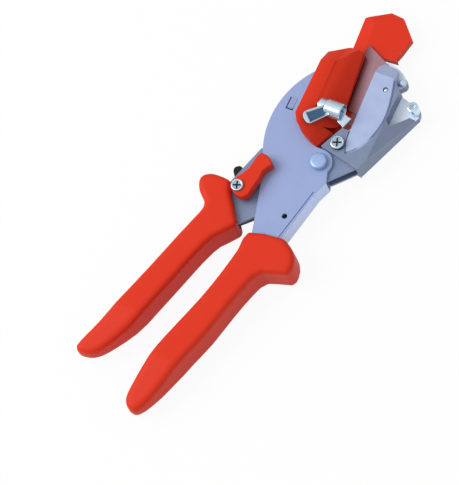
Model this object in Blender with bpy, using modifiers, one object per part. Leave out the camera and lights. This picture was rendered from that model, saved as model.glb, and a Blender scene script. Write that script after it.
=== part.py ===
"""Gasket shears with a mitre anvil, a swivelling front stop and a hinged catch.

The tool lies on its back. X runs along the jaws, away from the grips, Y points from the
blade towards the anvil, and Z points up through the plates. The main pivot's axis is the
Z axis, and the surface that the tool rests on is the plane Z = 0. All sizes are in metres.
"""

import math

import bmesh
import bpy
from mathutils import Matrix, Vector

# Clearances and cutting
GAP = 0.0003
OVERRUN = 0.004
ROUND_SIDES = 32
SMALL_SIDES = 16
FLAT_ANGLE = math.radians(0.3)

# Levels of the plates, measured from the middle plane of the tool
MIDDLE = 0.010
SHEET = 0.0015
OUTER_HALF = 0.006
INNER_HALF = OUTER_HALF - SHEET - GAP
INNER_CORE = INNER_HALF - SHEET

# Anvil arm
PLATE = 0.038
DISC_RADIUS = 0.0473
DISC = (0.0150, -0.0123)
SEAT = 0.0213
EAR_RADIUS = 0.007
ARM_HOLE_RADIUS = 0.0015
ARM_HOLE = (-0.0335, 0.0042)
TAB = (0.0245, 0.0278)
TAB_LENGTH = 0.0068
TAB_WIDTH = 0.0042
TAB_SLIT = 0.0008

# Main pivot
PIVOT_RADIUS = 0.0035
PIVOT_HEAD_RADIUS = 0.0045
PIVOT_HEAD_HEIGHT = 0.0030
PIVOT_NUT_RADIUS = 0.0058
PIVOT_NUT_HEIGHT = 0.0030
CLOSE_ANGLE = math.radians(7.5)

# Grips
GRIP_LENGTH = 0.112
GRIP_HALF = MIDDLE
GRIP_ROUND = 0.0028
GRIP_ROUND_STEPS = 3
GRIP_TAPER = 0.030
GRIP_DROP = 0.005

# Jaws
JAW = 0.0583
ANVIL_BASE = 0.0062
ANVIL_TOP = SEAT - GAP - ANVIL_BASE
SLOT_HALF = 0.0011
STOP_FRONT = 0.014
RIDGE = 0.0128
STOP_EDGE_LEVEL = 0.0022
STOP_EDGE = 0.0004
STOP_EDGE_END = 0.0043
BLOCK_FOOT = 0.0016
HEAD_REACH = 0.092
HEAD_BACK = -0.0055
END_CHAMFER = (0.0531, 0.0128, 0.0140)
END_CHAMFER_SHARES = (0.56, 0.22, 0.79)
HEAD_LEFT = (0.0837, 0.0088, -0.0011)
HEAD_LEFT_SHARES = (-0.065, 0.352, 0.934)
HEAD_TOP_SHARES = (0.342, 0.175, 0.923)
HEAD_HALF = 0.0143

# Wing bolt and the swivel of the front stop
BOLT_X = 0.028
BOLT_LEVEL = 0.0105
BOLT_RADIUS = 0.0020
BOLT_SEAT = 0.0080
BARREL_RADIUS = 0.0048
BARREL_LENGTH = 0.0095
BARREL_BORE_RADIUS = 0.0028
BARREL_BORE_DEPTH = 0.0030
WING_THICKNESS = 0.0022
WING_ROOT = (0.0255, 0.0060, 0.0130)
WING_TIP = (0.0158, 0.0140, 0.0170)
WING_ACROSS = (-0.67, -0.66, -0.30)
WING_WIDTH = 0.0070
FIN_ROOT = (0.0272, 0.0020, 0.0088)
FIN_TIP = (0.0243, -0.0052, 0.0078)
FIN_ACROSS = (-0.90, 0.20, -0.20)
FIN_WIDTH = 0.0052
NUT_HALF = 0.005
NUT_LOW = 0.0065
NUT_HIGH = 0.0132
NUT_THICKNESS = 0.003
SWIVEL_RADIUS = 0.0098

# Blade and its holder
BLADE_HALF = 0.0004
BLADE_WIDTH = 0.019
BLADE_HEEL = 0.0330
BLADE_TIP = 0.0692
BLADE_SLANT = 0.0060
BLADE_BEVEL = 0.0022
HOLDER_EDGE = 0.0065
HOLDER_FOLD = 0.0228
HOLDER_REACH = 0.0360
HOLDER_TOE = 0.001
RECESS_FLOOR = -0.0015
CLAMP_FRONT = 0.0054
CLAMP_START = 0.0226
CLAMP_BEVEL = 0.0036
CLAMP_STEP = 0.0032
END_PLATE_FRONT = -0.0007

# Screws
PAN_SCREW = (0.0129, -0.0048)
PAN_RADIUS = 0.0037
PAN_HEIGHT = 0.0024
PAN_RECESS = 0.0011
PAN_CROSS = 0.0024
PAN_CROSS_WIDTH = 0.0009
SCREW_RADIUS = 0.0020
SCREW_NUT = (0.0038, 0.0026)
CLAMP_SCREW = (0.0493, -0.0152)
PIN_RADIUS = 0.00115
PIN_SINK = 0.0006
CORNER_SCREW = (0.0574, -0.0201)
CORNER_SHANK = 0.0010
CORNER_HEAD_RADIUS = 0.0020
CORNER_HEAD_HEIGHT = 0.0014
CORNER_NUT = (0.0023, 0.0016)
STOP_SCREW = (0.0456, -0.0326)
STOP_SHANK = 0.0015
STOP_SCREW_RADIUS = 0.0029
STOP_SCREW_HEIGHT = 0.0066
STOP_NUT = (0.0031, 0.0024)
STOP_SOCKET_RADIUS = 0.0018
STOP_SOCKET_DEPTH = 0.0025

# Catch
CATCH_PIVOT = (-0.0288, 0.0325)
CATCH_LENGTH = 0.0262
CATCH_HEAD_RADIUS = 0.0033
CATCH_FRONT = 0.0125
CATCH_SCREW_HEIGHT = 0.0010
REAR_ARM_LENGTH = 0.0182
REAR_ARM_HALF = 0.0026
REAR_ARM_THICKNESS = 0.0026

# Return spring: a leaf between the blade arm's plates
LEAF_THICKNESS = 0.0009
LEAF_HALF = INNER_CORE - GAP
LEAF_LENGTH = 0.0300
LEAF_ROOT = (-0.0210, 0.0045)
LEAF_TURNS = 4

# Outline shares. Grip outlines are shares of the grip length from the grip's root.
LEFT_ROOT = (-0.0258, 0.0400)
LEFT_GRIP_SHARES = (
    (-0.002, 0.000), (0.000, 0.059), (-0.005, 0.091), (-0.023, 0.120), (-0.055, 0.130),
    (-0.103, 0.105), (-0.140, 0.063), (-0.176, 0.054), (-0.230, 0.070), (-0.331, 0.103),
    (-0.529, 0.164), (-0.720, 0.227), (-0.849, 0.272), (-0.930, 0.307), (-0.975, 0.325),
    (-0.998, 0.327), (-1.013, 0.310), (-1.013, 0.278), (-1.001, 0.242), (-0.970, 0.207),
    (-0.912, 0.169), (-0.816, 0.118), (-0.685, 0.076), (-0.553, 0.035), (-0.417, -0.006),
    (-0.347, -0.030), (-0.281, -0.060), (-0.199, -0.129), (-0.159, -0.112), (-0.101, -0.070),
    (-0.058, -0.038), (-0.018, -0.018),
)
RIGHT_ROOT = (-0.0458, 0.0019)
RIGHT_GRIP_SHARES = (
    (0.000, 0.000), (-0.004, -0.048), (-0.050, -0.110), (-0.107, -0.132), (-0.155, -0.118),
    (-0.187, -0.010), (-0.262, 0.031), (-0.401, 0.070), (-0.550, 0.105), (-0.670, 0.145),
    (-0.770, 0.175), (-0.873, 0.203), (-0.953, 0.234), (-0.985, 0.252), (-1.006, 0.272),
    (-1.006, 0.298), (-0.990, 0.322), (-0.958, 0.338), (-0.900, 0.336), (-0.796, 0.323),
    (-0.688, 0.302), (-0.560, 0.262), (-0.400, 0.210), (-0.255, 0.174), (-0.120, 0.149),
    (-0.027, 0.139),
)
LEFT_TANG_SHARES = ((-0.170, 0.020), (-0.760, 0.196), (-0.780, 0.130), (-0.280, -0.034))
RIGHT_TANG_SHARES = ((-0.220, 0.134), (-0.740, 0.274), (-0.740, 0.196), (-0.250, 0.060))
ANVIL_EDGE_SHARES = ((-0.085, 0.835), (-0.466, 0.658), (-0.871, 0.537), (-1.253, 0.432))
BED_SHARES = ((0.47, 0.0), (1.17, 0.0), (1.07, 0.10), (0.72, 0.24), (0.52, 0.24))
ANVIL_LOWER_SHARES = ((-1.184, 0.020), (-0.426, -0.140), (-0.240, -0.216))
HEEL_EDGE_SHARES = ((0.189, 0.131), (0.211, 0.211), (0.261, 0.334), (0.368, 0.476),
                    (0.489, 0.552))
WALL_EDGE_SHARES = ((0.142, 0.096), (0.316, 0.038), (0.473, -0.021), (0.566, -0.014),
                    (1.000, 0.050))
BLADE_ARM_UPPER_SHARES = ((-0.445, 0.686), (-0.055, 0.560), (0.051, 0.360), (0.143, 0.040))
BLADE_ARM_TONGUE_SHARES = ((0.310, -0.038), (0.377, -0.078), (0.377, -0.275), (0.073, -0.327))
BLADE_ARM_LOWER_SHARES = (
    (-0.110, -0.153), (-0.206, -0.020), (-0.515, 0.140), (-0.617, 0.280), (-0.784, 0.451),
)
BLADE_ARM_BACK_SHARES = (
    (-0.823, 0.412), (-0.515, 0.069), (-0.515, 0.211), (-0.751, 0.470), (-0.823, 0.485),
)
HOLDER_SHARES = ((0.146, 0.052), (0.316, -0.026), (0.463, -0.108))
HOLDER_NOTCH_SHARES = (
    (1.000, -0.108), (1.000, -0.321), (0.935, -0.324), (0.868, -0.398), (0.816, -0.590),
    (0.738, -0.617), (0.060, -0.346),
)
RECESS_SHARES = (
    (0.583, -0.391), (0.950, -0.391), (0.950, -0.700), (0.700, -0.700), (0.700, -0.555),
    (0.544, -0.439),
)
END_PLATE_SHARES = (
    (0.950, -0.115), (1.098, -0.117), (1.125, -0.136), (1.117, -0.189), (1.111, -0.216),
    (1.094, -0.262), (1.067, -0.314), (1.036, -0.355), (0.998, -0.381), (0.961, -0.379),
    (0.931, -0.353), (0.883, -0.309),
)
CLAMP_SHARES = (
    (1.084, -0.129), (1.074, -0.266), (0.967, -0.306), (0.818, -0.348), (0.720, -0.369),
    (0.635, -0.380), (0.550, -0.380), (0.477, -0.370), (0.400, -0.350), (0.331, -0.324),
    (0.275, -0.295), (0.226, -0.261), (0.190, -0.222), (0.165, -0.182), (0.254, -0.144),
    (0.326, -0.132), (1.031, -0.096),
)
REAR_HEAD_SHARES = (
    (0.720, 0.180), (0.728, -0.490), (0.732, -0.839), (0.749, -0.762), (0.793, -0.846),
    (0.887, -0.972), (0.986, -0.343), (1.000, 0.217), (0.920, 1.070), (0.725, 1.007),
)
CATCH_SHARES = (
    (0.668, -0.469), (0.763, -0.355), (0.798, -0.290), (0.813, -0.145), (0.714, -0.092),
    (0.569, -0.073), (0.420, -0.046), (0.298, 0.019), (0.176, 0.103), (0.031, 0.134),
    (-0.103, 0.088), (-0.179, -0.038), (-0.195, -0.134), (-0.176, -0.210), (-0.107, -0.271),
    (-0.023, -0.290), (0.153, -0.317), (0.328, -0.344), (0.466, -0.347), (0.573, -0.401),
)
LEAF_SHARES = (
    (0.000, 0.000), (-0.183, 0.150), (-0.400, 0.350), (-0.627, 0.573), (-0.787, 0.743),
    (-0.967, 0.933),
)

ORANGE = (0.80, 0.105, 0.018)
STEEL_BLUE = (0.40, 0.45, 0.60)
STEEL_GREY = (0.33, 0.34, 0.38)
STEEL_BRIGHT = (0.62, 0.64, 0.68)
BLACK = (0.02, 0.02, 0.022)


def clear_scene():
    """Remove every object that the file starts with."""
    for item in list(bpy.data.objects):
        bpy.data.objects.remove(item, do_unlink=True)


def new_collection(name):
    """Return a fresh collection linked to the scene."""
    group = bpy.data.collections.new(name)
    bpy.context.scene.collection.children.link(group)
    return group


def surface(name, colour, roughness, metallic):
    """Return a Principled material."""
    material = bpy.data.materials.new(name)
    material.use_nodes = True
    shader = material.node_tree.nodes["Principled BSDF"]
    shader.inputs["Base Color"].default_value = (*colour, 1.0)
    shader.inputs["Roughness"].default_value = roughness
    shader.inputs["Metallic"].default_value = metallic
    return material


def move_to(item, group):
    """Put an object in one collection only."""
    for owner in list(item.users_collection):
        owner.objects.unlink(item)
    group.objects.link(item)


def finish(item, group, material):
    """File a part's object, give it its material and smooth its round faces."""
    move_to(item, group)
    item.data.materials.clear()
    item.data.materials.append(material)
    item.data.shade_smooth()
    item.data.set_sharp_from_angle(angle=math.radians(35.0))
    return item


def as_cutter(item, group):
    """File an object as a cutter that is neither rendered nor built."""
    move_to(item, group)
    item.hide_render = True
    item.display_type = "WIRE"
    return item


def slab(name, outline, low, high):
    """Extrude a closed XY outline from level low to level high about the middle plane."""
    curve = bpy.data.curves.new(name, "CURVE")
    curve.dimensions = "2D"
    curve.fill_mode = "BOTH"
    curve.extrude = (high - low) / 2
    spline = curve.splines.new("POLY")
    spline.points.add(len(outline) - 1)
    for point, (x, y) in zip(spline.points, outline):
        point.co = (x, y, 0, 1)
    spline.use_cyclic_u = True
    holder = bpy.data.objects.new(name + "_outline", curve)
    holder.location.z = MIDDLE + (low + high) / 2
    bpy.context.scene.collection.objects.link(holder)
    graph = bpy.context.evaluated_depsgraph_get()
    mesh = bpy.data.meshes.new_from_object(holder.evaluated_get(graph))
    shape = bmesh.new()
    shape.from_mesh(mesh)
    bmesh.ops.remove_doubles(shape, verts=shape.verts, dist=GAP / 100)
    bmesh.ops.dissolve_limit(shape, angle_limit=FLAT_ANGLE, verts=shape.verts,
                             edges=shape.edges)
    bmesh.ops.recalc_face_normals(shape, faces=shape.faces)
    shape.to_mesh(mesh)
    shape.free()
    item = bpy.data.objects.new(name, mesh)
    item.matrix_world = holder.matrix_world.copy()
    item.location = holder.location
    bpy.context.scene.collection.objects.link(item)
    bpy.data.objects.remove(holder, do_unlink=True)
    return item


def rod(name, centre, radius, low, high, sides=ROUND_SIDES):
    """Make an upright cylinder or prism between two levels about the middle plane."""
    bpy.ops.mesh.primitive_cylinder_add(
        vertices=sides, radius=radius, depth=high - low,
        location=(centre[0], centre[1], MIDDLE + (low + high) / 2))
    item = bpy.context.object
    item.name = name
    return item


def cross_rod(name, radius, start, end, sides=ROUND_SIDES):
    """Make a cylinder on the wing bolt's axis, between two places along Y."""
    bpy.ops.mesh.primitive_cylinder_add(
        vertices=sides, radius=radius, depth=abs(end - start),
        location=(BOLT_X, (start + end) / 2, MIDDLE + BOLT_LEVEL),
        rotation=(math.pi / 2, 0, 0))
    item = bpy.context.object
    item.name = name
    return item


def block(name, low, high):
    """Make a box between two corners, with Z from the middle plane."""
    centre = [(a + b) / 2 for a, b in zip(low, high)]
    bpy.ops.mesh.primitive_cube_add(
        size=1, location=(centre[0], centre[1], MIDDLE + centre[2]))
    item = bpy.context.object
    item.name = name
    item.scale = [b - a for a, b in zip(low, high)]
    bpy.ops.object.transform_apply(location=False, rotation=False, scale=True)
    return item


def boolean(target, tool, operation):
    """Add one exact Boolean modifier."""
    step = target.modifiers.new(operation.title(), "BOOLEAN")
    step.operation = operation
    step.solver = "EXACT"
    step.object = tool


def cut(target, tools, group):
    """Take each tool away from the target."""
    for tool in tools:
        boolean(target, as_cutter(tool, group), "DIFFERENCE")


def join(target, tools, group):
    """Add each tool to the target, which stays one body."""
    for tool in tools:
        boolean(target, as_cutter(tool, group), "UNION")


def slice_off(item, point, normal):
    """Cut a mesh with a plane, given about the middle plane, and drop the normal's side."""
    bpy.context.view_layer.update()
    inverse = item.matrix_world.inverted()
    place = Vector((point[0], point[1], MIDDLE + point[2]))
    turn = inverse.to_3x3().inverted().transposed()
    shape = bmesh.new()
    shape.from_mesh(item.data)
    result = bmesh.ops.bisect_plane(
        shape, geom=shape.verts[:] + shape.edges[:] + shape.faces[:], dist=GAP / 1000,
        plane_co=inverse @ place, plane_no=(turn @ Vector(normal)).normalized(),
        clear_outer=True)
    rim = [edge for edge in result["geom_cut"] if isinstance(edge, bmesh.types.BMEdge)]
    bmesh.ops.holes_fill(shape, edges=rim, sides=0)
    bmesh.ops.recalc_face_normals(shape, faces=shape.faces)
    shape.to_mesh(item.data)
    shape.free()


def arc(centre, radius, start, end, steps):
    """Return points along an arc, with angles in radians."""
    points = []
    for index in range(steps + 1):
        angle = start + (end - start) * index / steps
        points.append((centre[0] + radius * math.cos(angle),
                       centre[1] + radius * math.sin(angle)))
    return points


def scaled(shares, size, root=(0, 0)):
    """Turn share pairs into places, measured from a root point."""
    return [(root[0] + x * size, root[1] + y * size) for x, y in shares]


def smooth_loop(points, steps):
    """Return a closed curve through the points, by the Catmull-Rom rule."""
    loop = []
    count = len(points)
    for index in range(count):
        a, b, c, d = (Vector(points[(index + shift) % count]) for shift in (-1, 0, 1, 2))
        for step in range(steps):
            t = step / steps
            place = (b * 2 + (c - a) * t + (a * 2 - b * 5 + c * 4 - d) * t ** 2
                     + (b * 3 - a - c * 3 + d) * t ** 3) / 2
            loop.append((place.x, place.y))
    return loop


def grown(outline, distance):
    """Move a closed outline outwards by a distance, whichever way round it runs."""
    count = len(outline)
    area = sum(outline[i][0] * outline[(i + 1) % count][1]
               - outline[(i + 1) % count][0] * outline[i][1] for i in range(count))
    side = math.copysign(1, area)
    result = []
    for index in range(count):
        before = Vector(outline[index - 1])
        here = Vector(outline[index])
        after = Vector(outline[(index + 1) % count])
        first = (here - before).normalized()
        second = (after - here).normalized()
        normal = Vector((first.y + second.y, -first.x - second.x)) * side
        normal.normalize()
        lean = max(normal.dot(Vector((first.y, -first.x)) * side), math.cos(math.pi / 3))
        place = here + normal * (distance / lean)
        result.append((place.x, place.y))
    return result


def turned_back(points):
    """Turn places of the closed jaws back to the open rest pose."""
    cosine = math.cos(CLOSE_ANGLE)
    sine = math.sin(CLOSE_ANGLE)
    return [(x * cosine + y * sine, y * cosine - x * sine) for x, y in points]


def anvil_head_arc():
    """Return the disc's outer edge, from the anvil seat round to the arm."""
    start = math.asin((SEAT - DISC[1]) / DISC_RADIUS)
    shoulder = ANVIL_EDGE_SHARES[0][1] * PLATE
    end = math.pi - math.asin((shoulder - DISC[1]) / DISC_RADIUS)
    return arc(DISC, DISC_RADIUS, start, end, 20)


def heel_edge():
    """Return the arm's edge from the ear up to the anvil seat."""
    edge = scaled(HEEL_EDGE_SHARES, PLATE)
    return [*edge[:-1], (edge[-1][0], SEAT)]


def anvil_arm_outline():
    """Return the outline that both plates of the anvil arm share."""
    tang = scaled(RIGHT_TANG_SHARES, GRIP_LENGTH, RIGHT_ROOT)
    ear = arc((0, 0), EAR_RADIUS, -math.radians(115.0), 0, 8)
    return (anvil_head_arc()
            + scaled(ANVIL_EDGE_SHARES[1:], PLATE)
            + tang
            + scaled(ANVIL_LOWER_SHARES, PLATE)
            + ear + heel_edge())


def anvil_arm_core():
    """Return the outline of the channel's inside, open on every side but the flange."""
    tang = scaled(RIGHT_TANG_SHARES, GRIP_LENGTH, RIGHT_ROOT)
    lower = scaled(ANVIL_LOWER_SHARES, PLATE)
    far = PLATE * 2
    wall = [tang[3], lower[0], lower[1], lower[2]]
    inner = [(x, y + SHEET) for x, y in wall]
    return [(tang[2][0] - OVERRUN, tang[2][1] + SHEET), (tang[2][0], tang[2][1] + SHEET),
            *inner, (lower[2][0] + GAP, -far), (far, -far), (far, far),
            (tang[2][0] - OVERRUN, far)]


def build_anvil_arm(group, cutters, material):
    """Make the anvil arm: a channel of two plates and a folded flange."""
    arm = slab("anvil_arm_frame", anvil_arm_outline(), -OUTER_HALF, OUTER_HALF)
    core = slab("anvil_arm_core", anvil_arm_core(), SHEET - OUTER_HALF, OUTER_HALF - SHEET)
    reach = OUTER_HALF + OVERRUN
    bore = rod("anvil_arm_bore", (0, 0), PIVOT_RADIUS + GAP, -reach, reach)
    hole = rod("anvil_arm_hole", ARM_HOLE, ARM_HOLE_RADIUS, -reach, reach, SMALL_SIDES)
    long_half = TAB_LENGTH / 2
    half = TAB_WIDTH / 2
    x, y = TAB
    slit = [(x - long_half, y - half), (x + long_half, y - half),
            (x + long_half, y - half + TAB_SLIT), (x - long_half + TAB_SLIT, y - half + TAB_SLIT),
            (x - long_half + TAB_SLIT, y + half - TAB_SLIT),
            (x + long_half, y + half - TAB_SLIT),
            (x + long_half, y + half), (x - long_half, y + half)]
    tab = slab("anvil_arm_tab_slit", slit, INNER_HALF, reach)
    cut(arm, [core, bore, hole, tab], cutters)
    return finish(arm, group, material)


def build_grip(name, shares, root, tang, group, cutters, material):
    """Make a moulded grip with rounded sides and a pocket for its tang."""
    outline = smooth_loop(scaled(shares, GRIP_LENGTH, root), 2)
    grip = slab(name, outline, -GRIP_HALF, GRIP_HALF)
    start = min(x for x, _ in outline) + GRIP_TAPER
    for side in (-1, 1):
        slice_off(grip, (start, 0, side * GRIP_HALF), (-GRIP_DROP, 0, side * GRIP_TAPER))
    edge = grip.modifiers.new("Rounded sides", "BEVEL")
    edge.width = GRIP_ROUND
    edge.segments = GRIP_ROUND_STEPS
    edge.limit_method = "ANGLE"
    edge.angle_limit = math.radians(60.0)
    edge.use_clamp_overlap = False
    edge.harden_normals = False
    pocket = slab(name + "_pocket", grown(tang[0], GAP), -tang[1] - GAP, tang[1] + GAP)
    cut(grip, [pocket], cutters)
    return finish(grip, group, material)


def blade_arm_outline():
    """Return the outline that both plates of the blade arm share."""
    tang = scaled(LEFT_TANG_SHARES, GRIP_LENGTH, LEFT_ROOT)
    return (scaled(BLADE_ARM_UPPER_SHARES, JAW)
            + scaled(BLADE_ARM_TONGUE_SHARES, JAW)
            + scaled(BLADE_ARM_LOWER_SHARES, JAW)
            + tang[::-1])


def build_blade_arm(group, cutters, material):
    """Make the blade arm: a narrower channel that runs between the anvil arm's plates."""
    arm = slab("blade_arm_frame", blade_arm_outline(), -INNER_HALF, INNER_HALF)
    upper = scaled(BLADE_ARM_UPPER_SHARES, JAW)
    tang = scaled(LEFT_TANG_SHARES, GRIP_LENGTH, LEFT_ROOT)
    far = JAW * 2
    wall = [tang[1], tang[0], upper[0], upper[1]]
    inner = [(x, y - SHEET) for x, y in wall]
    outline = [(tang[1][0] - OVERRUN, tang[1][1] - SHEET), *inner,
               (upper[1][0] + GAP, far), (far, far), (far, -far),
               (tang[1][0] - OVERRUN, -far)]
    core = slab("blade_arm_core", outline, -INNER_CORE, INNER_CORE)
    reach = INNER_HALF + OVERRUN
    bore = rod("blade_arm_bore", (0, 0), PIVOT_RADIUS + GAP, -reach, reach)
    catch = rod("blade_arm_catch_bore", CATCH_PIVOT, SCREW_RADIUS + GAP, -reach, reach,
                SMALL_SIDES)
    pan = rod("blade_arm_pan_bore", PAN_SCREW, SCREW_RADIUS + GAP, -reach, reach, SMALL_SIDES)
    back = slab("blade_arm_back_cut", scaled(BLADE_ARM_BACK_SHARES, JAW), -reach, 0)
    cut(arm, [core, bore, catch, pan, back], cutters)
    return finish(arm, group, material)


def build_pivot(group, cutters, material):
    """Make the pivot bolt with its domed head, and the nut behind."""
    head_low = OUTER_HALF + GAP
    bolt = rod("pivot_bolt", (0, 0), PIVOT_RADIUS, -MIDDLE, head_low + GAP)
    head = rod("pivot_bolt_head", (0, 0), PIVOT_HEAD_RADIUS, head_low,
               head_low + PIVOT_HEAD_HEIGHT)
    edge = head.modifiers.new("Round", "BEVEL")
    edge.width = PIVOT_HEAD_HEIGHT / 4
    edge.segments = 2
    edge.limit_method = "ANGLE"
    join(bolt, [head], cutters)
    finish(bolt, group, material)
    nut_top = -OUTER_HALF - GAP
    nut = rod("pivot_nut", (0, 0), PIVOT_NUT_RADIUS, nut_top - PIVOT_NUT_HEIGHT, nut_top, 6)
    bore = rod("pivot_nut_bore", (0, 0), PIVOT_RADIUS + GAP, -MIDDLE - OVERRUN, 0)
    cut(nut, [bore], cutters)
    return [bolt, finish(nut, group, material)]


def build_anvil_bed(group, material):
    """Make the steel bed between the plates that backs the mitre anvil."""
    outline = scaled(BED_SHARES, PLATE, (0, SEAT))
    level = OUTER_HALF - SHEET - GAP
    return finish(slab("anvil_bed", outline, -level, level), group, material)


def stop_slope(item):
    """Slope a front block down from its ridge to its edge beside the blade."""
    run = RIDGE - STOP_EDGE
    rise = STOP_FRONT - STOP_EDGE_LEVEL
    slice_off(item, (0, RIDGE, STOP_FRONT), (0, -rise, run))


def build_anvil_head():
    """Return the head that ends the rear stop, with its two chamfers, as a tool."""
    outer = [(x * HEAD_REACH, y * HEAD_HALF) for x, y in REAR_HEAD_SHARES]
    inner = JAW - SHEET * 2
    outline = [(inner, HOLDER_EDGE), *outer, (JAW + SHEET * 2, ANVIL_TOP),
               (inner, ANVIL_TOP)]
    head = slab("mitre_anvil_head", outline, HEAD_BACK, -SLOT_HALF)
    slice_off(head, HEAD_LEFT, HEAD_LEFT_SHARES)
    slice_off(head, HEAD_LEFT, HEAD_TOP_SHARES)
    return head


def build_mitre_anvil(group, cutters, material):
    """Make the moulded mitre anvil: its base, its front block, its wall and its head."""
    low = SEAT - GAP
    top = ANVIL_TOP
    heel = [(x + GAP * 2, min(y, low)) for x, y in heel_edge()]
    end = JAW + SHEET
    base = slab("mitre_anvil", [(heel[2][0] + SHEET, top), *heel[3:], (end - SHEET * 2, low),
                                (end, top)], -MIDDLE, SLOT_HALF + OVERRUN)
    sunk = top + SHEET
    foot = scaled(WALL_EDGE_SHARES, JAW)
    wall = slab("mitre_anvil_wall",
                [*foot, (end, foot[-1][1] + SHEET), (end, sunk), *heel[3:0:-1]],
                -MIDDLE, -SLOT_HALF)
    ridge = RIDGE + GAP
    inner = BOLT_X - SWIVEL_RADIUS
    front = slab("mitre_anvil_front",
                 [*heel, (end - SHEET * 2, low), (end + SHEET * 2, ridge), (inner, ridge),
                  (inner, BLOCK_FOOT)], SLOT_HALF, STOP_FRONT)
    stop_slope(front)
    slice_off(front, END_CHAMFER, END_CHAMFER_SHARES)
    swing = cross_rod("mitre_anvil_swing", SWIVEL_RADIUS + GAP, -OVERRUN, ridge)
    cut(front, [swing], cutters)
    bore = cross_rod("mitre_anvil_bore", BOLT_RADIUS + GAP, 0, SEAT + OVERRUN)
    reach = NUT_HALF + GAP
    pocket = block("mitre_anvil_nut_pocket",
                   (BOLT_X - reach, low - NUT_THICKNESS - GAP, NUT_LOW - GAP),
                   (BOLT_X + reach, SEAT + OVERRUN, NUT_HIGH + GAP))
    join(base, [wall, front, build_anvil_head()], cutters)
    cut(base, [bore, pocket], cutters)
    return finish(base, group, material)


def build_front_stop(group, cutters, material):
    """Make the front stop, which swivels about the wing bolt."""
    reach = JAW + SHEET * 3
    tip = JAW + SHEET + OVERRUN
    outline = [(BOLT_X, RIDGE), (reach, RIDGE), (tip, RIDGE - SHEET), (tip, STOP_EDGE_END),
               (BOLT_X, STOP_EDGE)]
    stop = slab("front_stop", outline, SLOT_HALF, STOP_FRONT)
    stop_slope(stop)
    slice_off(stop, END_CHAMFER, END_CHAMFER_SHARES)
    heel = cross_rod("front_stop_heel", SWIVEL_RADIUS, STOP_EDGE, RIDGE)
    stop_slope(heel)
    slice_off(heel, (BOLT_X, 0, SLOT_HALF), (0, 0, -1))
    join(stop, [heel], cutters)
    spot = cross_rod("front_stop_spot", BARREL_RADIUS + GAP * 2, -OVERRUN, BOLT_SEAT + GAP)
    bore = cross_rod("front_stop_bore", BOLT_RADIUS + GAP, 0, SEAT)
    cut(stop, [spot, bore], cutters)
    return finish(stop, group, material)


def wing_plate(name, root, tip, across, width):
    """Make a flat wing from its root to its tip, with its width along a direction."""
    along = Vector(tip) - Vector(root)
    ahead = along.normalized()
    side = Vector(across) - ahead * ahead.dot(Vector(across))
    side.normalize()
    centre = (Vector(root) + Vector(tip)) / 2 + Vector((0, 0, MIDDLE))
    spread = Matrix((along, side * width, ahead.cross(side) * WING_THICKNESS)).transposed()
    shape = bmesh.new()
    bmesh.ops.create_cube(shape, size=1, matrix=Matrix.Translation(centre) @ spread.to_4x4())
    mesh = bpy.data.meshes.new(name)
    shape.to_mesh(mesh)
    shape.free()
    item = bpy.data.objects.new(name, mesh)
    bpy.context.scene.collection.objects.link(item)
    corner = item.modifiers.new("Round corners", "BEVEL")
    corner.width = WING_THICKNESS / 3
    corner.segments = 2
    corner.limit_method = "ANGLE"
    return item


def build_wing_bolt(group, cutters, material):
    """Make the wing bolt: a shank, a bored barrel, a long swept wing and a short fin."""
    low = SEAT - GAP
    bolt = cross_rod("wing_bolt", BOLT_RADIUS, BOLT_SEAT - SHEET, low - GAP)
    end = BOLT_SEAT - BARREL_LENGTH
    barrel = cross_rod("wing_bolt_barrel", BARREL_RADIUS, end, BOLT_SEAT)
    bore = cross_rod("wing_bolt_bore", BARREL_BORE_RADIUS, end - OVERRUN,
                     end + BARREL_BORE_DEPTH, SMALL_SIDES)
    wings = [wing_plate("wing_bolt_wing", WING_ROOT, WING_TIP, WING_ACROSS, WING_WIDTH),
             wing_plate("wing_bolt_fin", FIN_ROOT, FIN_TIP, FIN_ACROSS, FIN_WIDTH)]
    join(bolt, [barrel, *wings], cutters)
    cut(bolt, [bore], cutters)
    return finish(bolt, group, material)


def build_wing_bolt_nut(group, cutters, material):
    """Make the square nut in the anvil's base that the wing bolt screws into."""
    top = SEAT - GAP - NUT_THICKNESS
    nut = block("wing_bolt_nut", (BOLT_X - NUT_HALF, top, NUT_LOW),
                (BOLT_X + NUT_HALF, SEAT - GAP, NUT_HIGH))
    bore = cross_rod("wing_bolt_nut_bore", BOLT_RADIUS + GAP, 0, SEAT + OVERRUN)
    cut(nut, [bore], cutters)
    return finish(nut, group, material)


def holder_outline():
    """Return the outline of the blade holder's casting."""
    return scaled(HOLDER_SHARES, JAW) + scaled(HOLDER_NOTCH_SHARES, JAW)


def clamp_crossing():
    """Return the clamp plate's outline and where its curved edge meets the blade's heel."""
    whole = scaled(CLAMP_SHARES, JAW)
    index = next(i for i, place in enumerate(whole) if place[0] < CLAMP_START)
    before, after = whole[index - 1], whole[index]
    share = (CLAMP_START - after[0]) / (before[0] - after[0])
    return whole, index, (CLAMP_START, after[1] + share * (before[1] - after[1]))


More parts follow.
